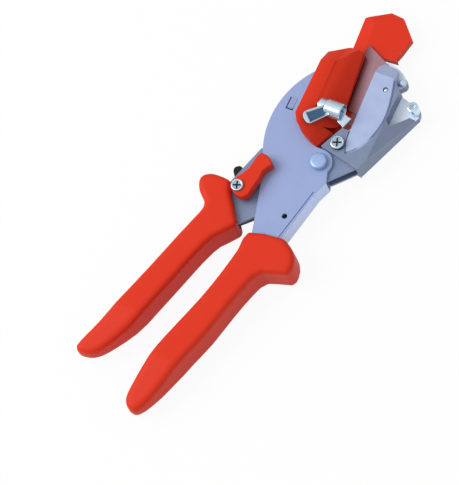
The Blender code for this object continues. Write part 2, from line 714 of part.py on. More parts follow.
def build_blade_holder(group, cutters, material):
    """Make the casting that carries the blade, with its sloping side."""
    holder = slab("blade_holder", holder_outline(), -OUTER_HALF, OUTER_HALF)
    width = HOLDER_REACH - HOLDER_FOLD
    drop = OUTER_HALF + HOLDER_TOE
    far = JAW * 2
    bpy.ops.mesh.primitive_cube_add(size=far)
    slope = bpy.context.object
    slope.name = "blade_holder_slope"
    tilt = math.atan2(drop, width)
    slope.matrix_world = (Matrix.Translation((0, -HOLDER_FOLD, MIDDLE + OUTER_HALF))
                          @ Matrix.Rotation(tilt, 4, "X")
                          @ Matrix.Translation((0, -far / 2, far / 2)))
    pocket_line = grown(blade_arm_outline(), GAP)
    pocket = slab("blade_holder_pocket", pocket_line, -INNER_HALF - GAP, INNER_HALF + GAP)
    whole, index, crossing = clamp_crossing()
    high = OUTER_HALF + OVERRUN
    line = grown(whole, GAP)
    shelf = slab("blade_holder_shelf", line, INNER_HALF + GAP / 2, high)
    start = CLAMP_START - GAP * 3
    seat_line = [(start, far), (start, crossing[1] - GAP / 2), *line[index - 1:1:-1],
                 (JAW + OVERRUN, line[2][1]), (JAW + OVERRUN, far)]
    seat = slab("blade_holder_seat", seat_line, -BLADE_HALF - GAP, high)
    recess = slab("blade_holder_recess", scaled(RECESS_SHARES, JAW), RECESS_FLOOR, high)
    end_plate = slab("blade_holder_end_plate", scaled(END_PLATE_SHARES, JAW), -OUTER_HALF,
                     END_PLATE_FRONT)
    reach = MIDDLE
    bores = [
        rod("blade_holder_pan_bore", PAN_SCREW, SCREW_RADIUS + GAP, -reach, reach, SMALL_SIDES),
        rod("blade_holder_clamp_bore", CLAMP_SCREW, SCREW_RADIUS + GAP, -reach, reach,
            SMALL_SIDES),
        rod("blade_holder_stop_bore", STOP_SCREW, STOP_SHANK + GAP, -reach, reach,
            SMALL_SIDES),
        rod("blade_holder_corner_bore", CORNER_SCREW, CORNER_SHANK + GAP, -reach, reach,
            SMALL_SIDES),
        rod("blade_holder_corner_spot", CORNER_SCREW, CORNER_HEAD_RADIUS + GAP,
            END_PLATE_FRONT, reach),
    ]
    cut(holder, [slope], cutters)
    join(holder, [end_plate], cutters)
    cut(holder, [pocket, shelf, seat, recess, *bores], cutters)
    return finish(holder, group, material)


def build_clamp_plate(group, cutters, material):
    """Make the plate that presses the blade into its seat, with its thin curved tail."""
    whole = scaled(CLAMP_SHARES, JAW)
    plate = slab("clamp_plate", whole, BLADE_HALF + GAP, CLAMP_FRONT)
    slice_off(plate, (JAW * CLAMP_SHARES[2][0], 0, CLAMP_FRONT),
              (CLAMP_BEVEL, 0, (CLAMP_SHARES[0][0] - CLAMP_SHARES[2][0]) * JAW))
    under = block("clamp_plate_tail_space", (0, -HOLDER_REACH, -OUTER_HALF),
                  (CLAMP_START, 0, INNER_HALF + GAP * 2))
    bore = rod("clamp_plate_bore", CLAMP_SCREW, SCREW_RADIUS + GAP, -MIDDLE, CLAMP_STEP,
               SMALL_SIDES)
    pin_hole = rod("clamp_plate_pin_hole", CLAMP_SCREW, PIN_RADIUS + GAP, -MIDDLE, MIDDLE,
                   SMALL_SIDES)
    cut(plate, [under, bore, pin_hole], cutters)
    return finish(plate, group, material)


def build_blade(group, material):
    """Make the blade, ground to an edge that meets the anvil when the jaws close."""
    edge = ANVIL_TOP - GAP
    back = edge - BLADE_WIDTH
    outline = turned_back([(BLADE_HEEL, back), (BLADE_TIP - BLADE_SLANT, back),
                           (BLADE_TIP, edge), (BLADE_HEEL, edge)])
    blade = slab("blade", outline, -BLADE_HALF, BLADE_HALF)
    root = turned_back([(BLADE_HEEL, edge)])[0]
    normal = turned_back([(0, 1)])[0]
    thin = BLADE_HALF / 4
    for side in (-1, 1):
        slice_off(blade, (root[0], root[1], side * thin),
                  (normal[0] * (BLADE_HALF - thin), normal[1] * (BLADE_HALF - thin),
                   side * BLADE_BEVEL))
    return finish(blade, group, material)


def build_screw(name, place, levels, sizes, cutters, material, group):
    """Make a screw; sizes holds its shank radius, its head radius and its head height."""
    shank, radius, height = sizes
    bottom, top = levels
    screw = rod(name, place, shank, bottom, top + GAP, SMALL_SIDES)
    cap = rod(name + "_head", place, radius, top, top + height)
    edge = cap.modifiers.new("Round", "BEVEL")
    edge.width = height / 4
    edge.segments = 2
    edge.limit_method = "ANGLE"
    join(screw, [cap], cutters)
    return finish(screw, group, material)


def cross_recess(screw, place, top, cutters):
    """Cut a cross recess in a screw's head."""
    for turn in range(2):
        half = (PAN_CROSS, PAN_CROSS_WIDTH / 2)
        x = half[turn]
        y = half[1 - turn]
        tool = block(f"{screw.name}_cross_{turn}",
                     (place[0] - x, place[1] - y, top - PAN_RECESS),
                     (place[0] + x, place[1] + y, top + OVERRUN))
        cut(screw, [tool], cutters)


def build_nut(name, place, top, sizes, cutters, material, group):
    """Make a hexagonal nut; sizes holds its bolt's radius, its own radius and its height."""
    shank, radius, height = sizes
    nut = rod(name, place, radius, top - height, top, 6)
    bore = rod(name + "_bore", place, shank + GAP, -MIDDLE - OVERRUN, top + OVERRUN,
               SMALL_SIDES)
    cut(nut, [bore], cutters)
    return finish(nut, group, material)


def build_screws(group, cutters, material):
    """Make the screws of the blade holder, with their nuts."""
    back = -OUTER_HALF - GAP
    bottom = back - SCREW_NUT[1]
    pan_top = OUTER_HALF + GAP
    pan = build_screw("pan_screw", PAN_SCREW, (bottom, pan_top),
                      (SCREW_RADIUS, PAN_RADIUS, PAN_HEIGHT), cutters, material, group)
    cross_recess(pan, PAN_SCREW, pan_top + PAN_HEIGHT, cutters)
    shoulder = CLAMP_STEP - GAP * 2
    build_screw("clamp_screw", CLAMP_SCREW, (bottom, shoulder),
                (SCREW_RADIUS, PIN_RADIUS, CLAMP_FRONT - PIN_SINK - shoulder),
                cutters, material, group)
    raised = RECESS_FLOOR + GAP
    stop = build_screw("stop_screw", STOP_SCREW, (back - STOP_NUT[1], raised),
                       (STOP_SHANK, STOP_SCREW_RADIUS, STOP_SCREW_HEIGHT),
                       cutters, material, group)
    socket = rod("stop_screw_socket", STOP_SCREW, STOP_SOCKET_RADIUS,
                 raised + STOP_SCREW_HEIGHT - STOP_SOCKET_DEPTH,
                 raised + STOP_SCREW_HEIGHT + OVERRUN, 6)
    cut(stop, [socket], cutters)
    build_screw("corner_screw", CORNER_SCREW, (back - CORNER_NUT[1], END_PLATE_FRONT + GAP),
                (CORNER_SHANK, CORNER_HEAD_RADIUS, CORNER_HEAD_HEIGHT),
                cutters, material, group)
    for name, place, shank, size in (
            ("pan_nut", PAN_SCREW, SCREW_RADIUS, SCREW_NUT),
            ("clamp_nut", CLAMP_SCREW, SCREW_RADIUS, SCREW_NUT),
            ("stop_nut", STOP_SCREW, STOP_SHANK, STOP_NUT),
            ("corner_nut", CORNER_SCREW, CORNER_SHANK, CORNER_NUT)):
        build_nut(name, place, back, (shank, *size), cutters, material, group)


def rear_arm_outline(length, half, shares, direction):
    """Return the rear arm's outline about the catch pivot, turned to a direction."""
    tail = arc((0, 0), half, math.radians(90.0), math.radians(270.0), 8)
    side = [(x * length, y * half) for x, y in shares]
    lower = [(x, -y) for x, y in side]
    points = tail + lower[1:] + side[:0:-1]
    cosine = math.cos(direction)
    sine = math.sin(direction)
    return [(CATCH_PIVOT[0] + x * cosine - y * sine, CATCH_PIVOT[1] + x * sine + y * cosine)
            for x, y in points]


def build_catch(group, cutters, materials):
    """Make the catch: its front lever, its rear arm and the screw that joins them."""
    orange, bright, black = materials
    front = scaled(CATCH_SHARES, CATCH_LENGTH, CATCH_PIVOT)
    lever = slab("catch_lever", front, OUTER_HALF + GAP, CATCH_FRONT)
    edge = lever.modifiers.new("Soft edges", "BEVEL")
    edge.width = SHEET / 2
    edge.segments = 2
    edge.limit_method = "ANGLE"
    edge.angle_limit = math.radians(50.0)
    bore = rod("catch_lever_bore", CATCH_PIVOT, SCREW_RADIUS + GAP, 0, MIDDLE * 2, SMALL_SIDES)
    cut(lever, [bore], cutters)
    finish(lever, group, orange)
    back = rear_arm_outline(REAR_ARM_LENGTH, REAR_ARM_HALF,
                            ((0, 1), (0.88, 1), (0.96, 0.8), (1.0, 0.4)),
                            math.radians(37.0))
    arm_top = -INNER_HALF - GAP
    arm = slab("catch_rear_arm", back, arm_top - REAR_ARM_THICKNESS, arm_top)
    arm_bore = rod("catch_rear_arm_bore", CATCH_PIVOT, SCREW_RADIUS + GAP, -MIDDLE * 2, 0,
                   SMALL_SIDES)
    cut(arm, [arm_bore], cutters)
    finish(arm, group, black)
    screw = build_screw("catch_screw", CATCH_PIVOT,
                        (arm_top - REAR_ARM_THICKNESS, CATCH_FRONT + GAP),
                        (SCREW_RADIUS, CATCH_HEAD_RADIUS, CATCH_SCREW_HEIGHT),
                        cutters, bright, group)
    cross_recess(screw, CATCH_PIVOT, CATCH_FRONT + GAP + CATCH_SCREW_HEIGHT, cutters)


def build_spring(group, material):
    """Make the return spring, a leaf between the blade arm's plates along their lower edge."""
    line = [Vector(place) for place in scaled(LEAF_SHARES, LEAF_LENGTH, LEAF_ROOT)]
    path = []
    for index in range(len(line) - 1):
        a = line[max(index - 1, 0)]
        b, c = line[index], line[index + 1]
        d = line[min(index + 2, len(line) - 1)]
        for step in range(LEAF_TURNS):
            t = step / LEAF_TURNS
            path.append((b * 2 + (c - a) * t + (a * 2 - b * 5 + c * 4 - d) * t ** 2
                         + (b * 3 - a - c * 3 + d) * t ** 3) / 2)
    path.append(line[-1])
    upper = []
    for index, place in enumerate(path):
        along = path[min(index + 1, len(path) - 1)] - path[max(index - 1, 0)]
        side = Vector((along.y, -along.x)).normalized() * LEAF_THICKNESS
        upper.append(place + side)
    outline = [(place.x, place.y) for place in path + upper[::-1]]
    return finish(slab("return_spring", outline, -LEAF_HALF, LEAF_HALF), group, material)


def main():
    """Build the whole tool."""
    clear_scene()
    parts = new_collection("gasket_shears")
    cutters = new_collection("cutters")
    orange = surface("orange_plastic", ORANGE, 0.42, 0.0)
    plate = surface("plate_steel", STEEL_BLUE, 0.38, 0.8)
    cast = surface("cast_holder", STEEL_GREY, 0.45, 0.8)
    bright = surface("bright_zinc", STEEL_BRIGHT, 0.25, 1.0)
    ground = surface("ground_blade", STEEL_BRIGHT, 0.22, 1.0)
    black = surface("black_parts", BLACK, 0.5, 0.0)

    build_anvil_arm(parts, cutters, plate)
    build_blade_arm(parts, cutters, plate)
    build_grip("left_grip", LEFT_GRIP_SHARES, LEFT_ROOT, (blade_arm_outline(), INNER_HALF),
               parts, cutters, orange)
    build_grip("right_grip", RIGHT_GRIP_SHARES, RIGHT_ROOT, (anvil_arm_outline(), OUTER_HALF),
               parts, cutters, orange)
    build_pivot(parts, cutters, bright)
    build_anvil_bed(parts, cast)
    build_mitre_anvil(parts, cutters, orange)
    build_front_stop(parts, cutters, orange)
    build_wing_bolt(parts, cutters, bright)
    build_wing_bolt_nut(parts, cutters, bright)
    build_blade_holder(parts, cutters, cast)
    build_clamp_plate(parts, cutters, plate)
    build_blade(parts, ground)
    build_screws(parts, cutters, bright)
    build_catch(parts, cutters, (orange, bright, black))
    build_spring(parts, black)


main()
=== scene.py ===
"""Looks of the gasket shears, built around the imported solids.

Each sub-assembly is a class that holds its sizes and makes its own meshes: softened copies
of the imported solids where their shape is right, and pieces modelled here where the real
ones have more form. Each finish is a frozen dataclass that builds a node material from
object coordinates. All lengths are in metres. Levels are measured from the middle plane
of the tool, which lies MIDDLE above the floor.
"""

import logging
import math
from dataclasses import dataclass, field, replace
from enum import Enum
from functools import partial
from typing import Callable, Optional

import bmesh
import bpy
from mathutils import Matrix, Vector


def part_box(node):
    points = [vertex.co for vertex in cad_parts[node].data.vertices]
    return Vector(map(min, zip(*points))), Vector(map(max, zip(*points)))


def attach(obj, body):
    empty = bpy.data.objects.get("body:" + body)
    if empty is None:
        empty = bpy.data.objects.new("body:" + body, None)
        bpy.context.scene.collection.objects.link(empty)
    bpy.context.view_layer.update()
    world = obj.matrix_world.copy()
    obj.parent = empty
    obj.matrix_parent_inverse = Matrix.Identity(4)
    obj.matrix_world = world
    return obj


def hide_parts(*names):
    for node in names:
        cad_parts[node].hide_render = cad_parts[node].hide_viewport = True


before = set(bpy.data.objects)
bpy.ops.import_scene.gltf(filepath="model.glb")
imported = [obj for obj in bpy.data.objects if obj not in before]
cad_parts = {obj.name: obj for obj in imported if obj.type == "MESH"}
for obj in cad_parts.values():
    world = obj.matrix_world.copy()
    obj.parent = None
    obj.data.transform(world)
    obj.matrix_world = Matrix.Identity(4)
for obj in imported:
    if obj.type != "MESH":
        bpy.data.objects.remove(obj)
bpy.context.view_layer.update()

LOG = logging.getLogger("shears")

# The height of the tool's middle plane above the floor.
MIDDLE = 0.010
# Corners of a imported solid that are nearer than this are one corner.
MERGE_REACH = 0.000002
# Corners that a rounding leaves nearer than this are joined.
WELD_REACH = 0.000001
# Faces that meet flatter than this are one face.
FLAT_ANGLE = math.radians(0.4)
# Edges sharper than this are rounded.
SHARP_ANGLE = math.radians(25.0)
# Edges flatter than this many degrees are shaded smooth.
SMOOTH_DEGREES = 32.0
# The part of a noise's range that the gloss follows.
NOISE_RANGE = (0.3, 0.7)
# A face looks along an axis when its normal's share along it is over this.
FACING = 0.9
HEXAGON = 6

Place = tuple[float, float, float]
Spot = tuple[float, float]
Spots = tuple[Spot, ...]
Profile = Spots
Item = bpy.types.Object
Edge = bmesh.types.BMEdge
Tree = bpy.types.NodeTree
Node = bpy.types.Node
Socket = bpy.types.NodeSocket


class Body(Enum):
    """The bodies that pieces ride on."""

    ANVIL_ARM = "anvil_arm"
    BLADE_ARM = "blade_arm"
    STOP = "stop"
    WING = "wing"
    CATCH = "catch"


class Slot(Enum):
    """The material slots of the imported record."""

    ORANGE = "orange_plastic"
    PLATE = "plate_steel"
    CAST = "cast_holder"
    ZINC = "bright_zinc"
    GROUND = "ground_blade"
    BLACK = "black_parts"


def add_node(tree: Tree, kind: str, operation: str = "") -> Node:
    """Add a shader node and set its operation, where it has one.

    Args:
        tree: the node tree.
        kind: the node's type without its first words.
        operation: the operation's name.

    Returns:
        The node.
    """
    made = tree.nodes.new(f"ShaderNode{kind}")
    if operation:
        made.operation = operation
    return made


@dataclass(frozen=True)
class ShadeFade:
    """Painted shade: a darkening along a straight line through a piece.

    Attributes:
        start: where the change begins.
        along: the direction of the change.
        length: how far it goes.
        colour: the dark linear colour of the painted shade at its start; its end has the finish's
            own.
    """

    start: Place
    along: Place
    length: float
    colour: Place


@dataclass(frozen=True)
class FacingTintAndLight:
    """A pale colour for the faces that look one way: painted light, as though they were lit, and
    on milled faces also their own paler tone.

    Attributes:
        way: the direction that they look in.
        least: the least share of their normal along it.
        below: the height that they lie under.
        colour: their linear colour.
    """

    way: Place
    least: float
    below: float
    colour: Place


@dataclass(frozen=True)
class Finish:
    """A surface finish with a fine grain, broad clouding and uneven gloss.

    Attributes:
        name: the material's name.
        slot: the record's slot that the finish belongs to; not used.
        colour: the linear base colour.
        shade: the linear colour of the clouding.
        roughness: the middle roughness.
        gloss_spread: how far the roughness goes up and down.
        metallic: the metallic share.
        specular: the specular level.
        grain: the grain's size along X, Y and Z.
        grain_depth: the height of the grain's bump.
        cloud: the size of the clouding.
        shade_fade: painted shade, a darkening along the piece, where it has one.
        tint_and_light: a pale colour for the faces that look one way, where it has one; it is
            painted light, and on milled faces also their own paler tone.
        grain_detail: how many finer layers the grain has.
        cloud_detail: how many finer layers the clouding has.
    """

    name: str
    slot: Slot
    colour: Place
    shade: Place
    roughness: float
    gloss_spread: float
    metallic: float
    specular: float
    grain: Place
    grain_depth: float
    cloud: float
    shade_fade: Optional[ShadeFade] = None
    tint_and_light: Optional[FacingTintAndLight] = None
    grain_detail: float = 3.0
    cloud_detail: float = 2.0

    def material(self) -> bpy.types.Material:
        """Return the finish's node material, made once.

        Returns:
            The material.
        """
        ready = bpy.data.materials.get(self.name)
        if ready:
            return ready
        made = bpy.data.materials.new(self.name)
        made.use_nodes = True
        tree = made.node_tree
        shader = tree.nodes["Principled BSDF"]
        shader.inputs["Metallic"].default_value = self.metallic
        shader.inputs["Specular IOR Level"].default_value = self.specular
        place = add_node(tree, "TexCoord")
        grain = self._noise(tree, place, self.grain, self.grain_detail)
        cloud = self._noise(tree, place, (self.cloud,) * 3, self.cloud_detail)
        colour = self._blend(tree, cloud.outputs["Fac"], self.colour, self.shade)
        # Painted shade along a line and painted light on the faces that look one way, where the
        # finish has them.
        if self.shade_fade:
            colour = self._shade_faded(tree, place, colour)
        if self.tint_and_light:
            colour = self._tinted_and_lit(tree, place, colour)
        tree.links.new(colour, shader.inputs["Base Color"])
        gloss = add_node(tree, "MapRange")
        gloss.inputs["From Min"].default_value = NOISE_RANGE[0]
        gloss.inputs["From Max"].default_value = NOISE_RANGE[1]
        gloss.inputs["To Min"].default_value = self.roughness - self.gloss_spread
        gloss.inputs["To Max"].default_value = self.roughness + self.gloss_spread
        tree.links.new(grain.outputs["Fac"], gloss.inputs["Value"])
        tree.links.new(gloss.outputs["Result"], shader.inputs["Roughness"])
        bump = add_node(tree, "Bump")
        bump.inputs["Strength"].default_value = 1.0
        bump.inputs["Distance"].default_value = self.grain_depth
        tree.links.new(grain.outputs["Fac"], bump.inputs["Height"])
        tree.links.new(bump.outputs["Normal"], shader.inputs["Normal"])
        return made

    @staticmethod
    def _noise(tree: Tree, place: Node, size: Place, detail: float) -> Node:
        """Return a noise whose pattern has the given size along each axis.

        Args:
            tree: the material's node tree.
            place: the texture coordinate node.
            size: the pattern's size in metres along X, Y and Z.
            detail: how many finer layers the noise has.

        Returns:
            The noise node.
        """
        spread = add_node(tree, "Mapping")
        spread.inputs["Scale"].default_value = [1.0 / length for length in size]
        noise = add_node(tree, "TexNoise")
        noise.inputs["Scale"].default_value = 1.0
        noise.inputs["Detail"].default_value = detail
        tree.links.new(place.outputs["Object"], spread.inputs["Vector"])
        tree.links.new(spread.outputs["Vector"], noise.inputs["Vector"])
        return noise

    @staticmethod
    def _blend(tree: Tree, share: Socket, first: "Place | Socket",
               second: "Place | Socket") -> Socket:
        """Blend two colours by a share.

        Args:
            tree: the material's node tree.
            share: the socket that gives the second colour's share.
            first: a colour or a socket that gives one.
            second: the other one.

        Returns:
            The blended colour's socket.
        """
        mix = add_node(tree, "Mix")
        mix.data_type = "RGBA"
        tree.links.new(share, mix.inputs["Factor"])
        for colour, socket in ((first, mix.inputs["A"]), (second, mix.inputs["B"])):
            if isinstance(colour, Socket):
                tree.links.new(colour, socket)
            else:
                socket.default_value = (*colour, 1.0)
        return mix.outputs["Result"]

    def _shade_faded(self, tree: Tree, place: Node, colour: Socket) -> Socket:
        """Darken a colour along the painted shade's line.

        Args:
            tree: the material's node tree.
            place: the texture coordinate node.
            colour: the colour at the line's end.

        Returns:
            The changed colour's socket.
        """
        away = add_node(tree, "VectorMath", "SUBTRACT")
        away.inputs[1].default_value = self.shade_fade.start
        tree.links.new(place.outputs["Object"], away.inputs[0])
        reach = add_node(tree, "VectorMath", "DOT_PRODUCT")
        reach.inputs[1].default_value = Vector(self.shade_fade.along).normalized()
        tree.links.new(away.outputs["Vector"], reach.inputs[0])
        share = add_node(tree, "MapRange")
        share.interpolation_type = "SMOOTHSTEP"
        share.inputs["From Max"].default_value = self.shade_fade.length
        tree.links.new(reach.outputs["Value"], share.inputs["Value"])
        return self._blend(tree, share.outputs["Result"], self.shade_fade.colour, colour)

    def _tinted_and_lit(self, tree: Tree, place: Node, colour: Socket) -> Socket:
        """Paint light on the faces that look one way by giving them a paler colour, which on
        milled faces is also their own tone.

        Args:
            tree: the material's node tree.
            place: the texture coordinate node.
            colour: the colour elsewhere.

        Returns:
            The changed colour's socket.
        """
        normal = add_node(tree, "NewGeometry")
        share = add_node(tree, "VectorMath", "DOT_PRODUCT")
        share.inputs[1].default_value = Vector(self.tint_and_light.way).normalized()
        tree.links.new(normal.outputs["True Normal"], share.inputs[0])
        turned = add_node(tree, "Math", "GREATER_THAN")
        turned.inputs[1].default_value = self.tint_and_light.least
        tree.links.new(share.outputs["Value"], turned.inputs[0])
        height = add_node(tree, "SeparateXYZ")
        tree.links.new(place.outputs["Object"], height.inputs["Vector"])
        low = add_node(tree, "Math", "LESS_THAN")
        low.inputs[1].default_value = self.tint_and_light.below
        tree.links.new(height.outputs["Z"], low.inputs[0])
        both = add_node(tree, "Math", "MULTIPLY")
        tree.links.new(turned.outputs["Value"], both.inputs[0])
        tree.links.new(low.outputs["Value"], both.inputs[1])
        return self._blend(tree, both.outputs["Value"], colour, self.tint_and_light.colour)


MOULDED = Finish("moulded_orange", Slot.ORANGE, (0.72, 0.036, 0.011), (0.68, 0.032, 0.010),
                 0.46, 0.05, 0.0, 0.15, (0.0005, 0.0005, 0.0005), 0.000012, 0.030)
# Plated steel of the anvil arm. The fold's side faces, which look away from the lamp, get painted
# light: a pale colour as though lit.
PLATED = Finish("plated_steel", Slot.PLATE, (0.29, 0.375, 0.635), (0.33, 0.41, 0.67),
                0.42, 0.06, 0.35, 0.40, (0.0016, 0.0004, 0.0010), 0.000010, 0.012,
                tint_and_light=FacingTintAndLight((-0.21, -0.97, 0.0), 0.80, 0.0155, (0.58, 0.70, 1.0)))
CLAMP_STEEL = Finish("clamp_steel", Slot.PLATE, (0.38, 0.455, 0.70), (0.47, 0.55, 0.80),
                     0.40, 0.08, 0.40, 0.40, (0.0004, 0.0030, 0.0010), 0.000012, 0.005)
ARM_STEEL = Finish("arm_steel", Slot.PLATE, (0.19, 0.25, 0.39), (0.23, 0.29, 0.44),
                   0.42, 0.06, 0.35, 0.40, (0.0012, 0.0005, 0.0010), 0.000010, 0.010)
# Cast holder. Its level faces low in the recess are pale, partly the machined face's own tone and
# partly painted light that lifts the shade cast by the recess wall.
CAST = Finish("cast_metal", Slot.CAST, (0.18, 0.23, 0.35), (0.24, 0.29, 0.42),
              0.44, 0.08, 0.35, 0.40, (0.0007, 0.0007, 0.0007), 0.000030, 0.005,
              tint_and_light=FacingTintAndLight((0.0, 0.0, 1.0), 0.98, 0.0095, (0.78, 0.88, 1.0)))
ZINC = Finish("bright_zinc_finish", Slot.ZINC, (0.76, 0.90, 1.0), (0.58, 0.72, 0.86),
              0.20, 0.06, 0.85, 0.50, (0.0008, 0.0008, 0.0008), 0.000012, 0.003)
PIVOT_ZINC = Finish("pivot_zinc", Slot.ZINC, (0.30, 0.44, 0.74), (0.36, 0.50, 0.80),
                    0.36, 0.05, 0.35, 0.50, (0.0006, 0.0006, 0.0006), 0.000008, 0.004)
# Ground blade steel. Its pinkish colour is a painted reflection of the orange anvil, and its shade
# fade is painted shade, darker towards the edge beside the anvil.
GROUND = Finish("ground_steel_painted_reflection_and_shade", Slot.GROUND, (0.46, 0.27, 0.32), (0.40, 0.21, 0.25),
                0.30, 0.06, 0.80, 0.50, (0.00025, 0.0080, 0.0080), 0.000005, 0.010,
                shade_fade=ShadeFade((0.050, 0.004, 0.010), (0.25, -1.0, 0.0), 0.0085,
                          (0.13, 0.030, 0.036)))
BLACK = Finish("black_moulding", Slot.BLACK, (0.008, 0.008, 0.010), (0.016, 0.016, 0.018),
               0.50, 0.08, 0.0, 0.20, (0.0006, 0.0006, 0.0006), 0.000015, 0.006)


def deselect() -> None:
    """Leave nothing selected and no mode open."""
    if bpy.context.object and bpy.context.object.mode != "OBJECT":
        bpy.ops.object.mode_set(mode="OBJECT")
    bpy.ops.object.select_all(action="DESELECT")


def activate(item: Item) -> None:
    """Select one object alone and make it active.

    Args:
        item: the object.
    """
    deselect()
    item.select_set(True)
    bpy.context.view_layer.objects.active = item


def open_mesh(item: Item) -> None:
    """Enter edit mode on one object, with its whole mesh selected.

    Args:
        item: the object.
    """
    activate(item)
    bpy.ops.object.mode_set(mode="EDIT")
    bpy.ops.mesh.select_all(action="SELECT")


def close_mesh() -> None:
    """Leave edit mode."""
    bpy.ops.object.mode_set(mode="OBJECT")


def choose_edges(item: Item, test: Callable[[Edge], bool]) -> None:
    """Select the edges, in edit mode, that pass a test.

    Args:
        item: the object in edit mode.
        test: takes an edge.
    """
    bpy.ops.mesh.select_mode(type="EDGE")
    bpy.ops.mesh.select_all(action="DESELECT")
    shape = bmesh.from_edit_mesh(item.data)
    for edge in shape.edges:
        if test(edge):
            edge.select_set(True)
    bmesh.update_edit_mesh(item.data)


def choose(item: Item, test: Callable[[Vector, Vector], bool]) -> None:
    """Select the faces, in edit mode, whose middle and normal pass a test.

    Args:
        item: the object in edit mode.
        test: takes a face's middle and its normal.
    """
    bpy.ops.mesh.select_mode(type="FACE")
    bpy.ops.mesh.select_all(action="DESELECT")
    shape = bmesh.from_edit_mesh(item.data)
    for face in shape.faces:
        if test(face.calc_center_median(), face.normal):
            face.select_set(True)
    bmesh.update_edit_mesh(item.data)


def apply_all(item: Item) -> None:
    """Apply every modifier of an object in order.

    Args:
        item: the object.
    """
    activate(item)
    for step in list(item.modifiers):
        bpy.ops.object.modifier_apply(modifier=step.name)


def settle(item: Item, angle: float = SMOOTH_DEGREES) -> None:
    """Put an object's place into its mesh and smooth its shallow edges.

    Args:
        item: the object.
        angle: edges flatter than this many degrees are smoothed.
    """
    activate(item)
    bpy.ops.object.transform_apply(location=True, rotation=True, scale=True)
    bpy.ops.object.shade_smooth_by_angle(angle=math.radians(angle))
    flat = item.modifiers.new("Flat faces", "WEIGHTED_NORMAL")
    flat.keep_sharp = True
    apply_all(item)


def dress(item: Item, body: Body, finish: Finish, *nodes: str) -> None:
    """Give a piece its material, its body and the solids it stands for.

    Args:
        item: the finished piece.
        body: the body that it rides on.
        finish: its finish.
        nodes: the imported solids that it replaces.
    """
    item.data.materials.clear()
    item.data.materials.append(finish.material())
    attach(item, body.value)
    if nodes:
        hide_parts(*nodes)
    LOG.info("%s: %d faces on %s", item.name, len(item.data.polygons), body.value)


def merged_copy(node: str, name: str) -> Item:
    """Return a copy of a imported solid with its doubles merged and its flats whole.

    Args:
        node: the solid's node.
        name: the copy's name.

    Returns:
        The new object.
    """
    item = bpy.data.objects.new(name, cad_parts[node].data.copy())
    item.data.name = name
    bpy.context.scene.collection.objects.link(item)
    open_mesh(item)
    bpy.ops.mesh.select_mode(type="VERT")
    bpy.ops.mesh.remove_doubles(threshold=MERGE_REACH)
    bpy.ops.mesh.dissolve_limited(angle_limit=FLAT_ANGLE)
    close_mesh()
    return item


def soften(item: Item, width: float, shortest: float, segments: int = 2,
           keep: Optional[Callable[[Vector], bool]] = None) -> None:
    """Round the sharp edges of a mesh that are longer than a length.

    Args:
        item: the object.
        width: the rounding's width.
        shortest: edges shorter than this stay as they are.
        segments: how many faces the rounding has.
        keep: edges with both ends at places that pass this test stay as they are.
    """
    shape = bmesh.new()
    shape.from_mesh(item.data)
    weight = shape.edges.layers.float.new("bevel_weight_edge")
    for edge in shape.edges:
        sharp = len(edge.link_faces) == 2 and edge.calc_face_angle() > SHARP_ANGLE
        kept = keep is not None and all(keep(end.co) for end in edge.verts)
        edge[weight] = 1.0 if sharp and not kept and edge.calc_length() > shortest else 0.0
    shape.to_mesh(item.data)
    shape.free()
    step = item.modifiers.new("Soft edges", "BEVEL")
    step.width = width
    step.segments = segments
    step.limit_method = "WEIGHT"
    step.use_clamp_overlap = True
    apply_all(item)
    open_mesh(item)
    bpy.ops.mesh.remove_doubles(threshold=WELD_REACH)
    close_mesh()


def lathe(name: str, profile: Profile, sides: int = 48) -> Item:
    """Turn a solid about the Z axis by extruding a disc through a profile.

    Args:
        name: the object's name.
        profile: pairs of radius and height, from the bottom disc to the last one.
        sides: how many sides each ring has.

    Returns:
        The new object, standing on the origin's axis.
    """
    deselect()
    radius, height = profile[0]
    bpy.ops.mesh.primitive_circle_add(vertices=sides, radius=radius, fill_type="NGON",
                                      location=(0, 0, height))
    item = bpy.context.object
    item.name = name
    item.data.name = name
    activate(item)
    bpy.ops.object.transform_apply(location=True, rotation=True, scale=True)
    open_mesh(item)
    for next_radius, next_height in profile[1:]:
        bpy.ops.mesh.extrude_region_move(
            TRANSFORM_OT_translate={"value": (0, 0, next_height - height)})
        share = next_radius / radius
        bpy.ops.transform.resize(value=(share, share, 1), center_override=(0, 0, next_height))
        radius, height = next_radius, next_height
    bpy.ops.mesh.select_all(action="SELECT")
    bpy.ops.mesh.normals_make_consistent(inside=False)
    close_mesh()
    return item


def carve(item: Item, tool: Item, operation: str = "DIFFERENCE") -> None:
    """Cut one mesh with another, or join or cross them, and delete the tool.

    Args:
        item: the object that is changed.
        tool: the object that is used up.
        operation: the Boolean's operation.
    """
    step = item.modifiers.new("Carve", "BOOLEAN")
    step.operation = operation
    step.solver = "EXACT"
    step.object = tool
    apply_all(item)
    bpy.data.objects.remove(tool, do_unlink=True)


def box(name: str, size: Place) -> Item:
    """Return a box about the origin.

    Args:
        name: its name.
        size: its lengths along X, Y and Z.

    Returns:
        The box, with its size in its mesh.
    """
    deselect()
    bpy.ops.mesh.primitive_cube_add(size=1.0)
    item = bpy.context.object
    item.name = name
    item.data.name = name
    item.scale = size
    bpy.ops.object.transform_apply(location=False, rotation=False, scale=True)
    return item


def put(item: Item, matrix: Matrix) -> Item:
    """Place an object by a matrix that goes into its mesh.

    Args:
        item: the object.
        matrix: its place and turn.

    Returns:
        The same object.
    """
    item.matrix_world = matrix
    activate(item)
    bpy.ops.object.transform_apply(location=True, rotation=True, scale=True)
    return item


def stand_at(x: float, y: float) -> Matrix:
    """Return the matrix that stands a turned piece on the middle plane at a place."""
    return Matrix.Translation((x, y, MIDDLE))


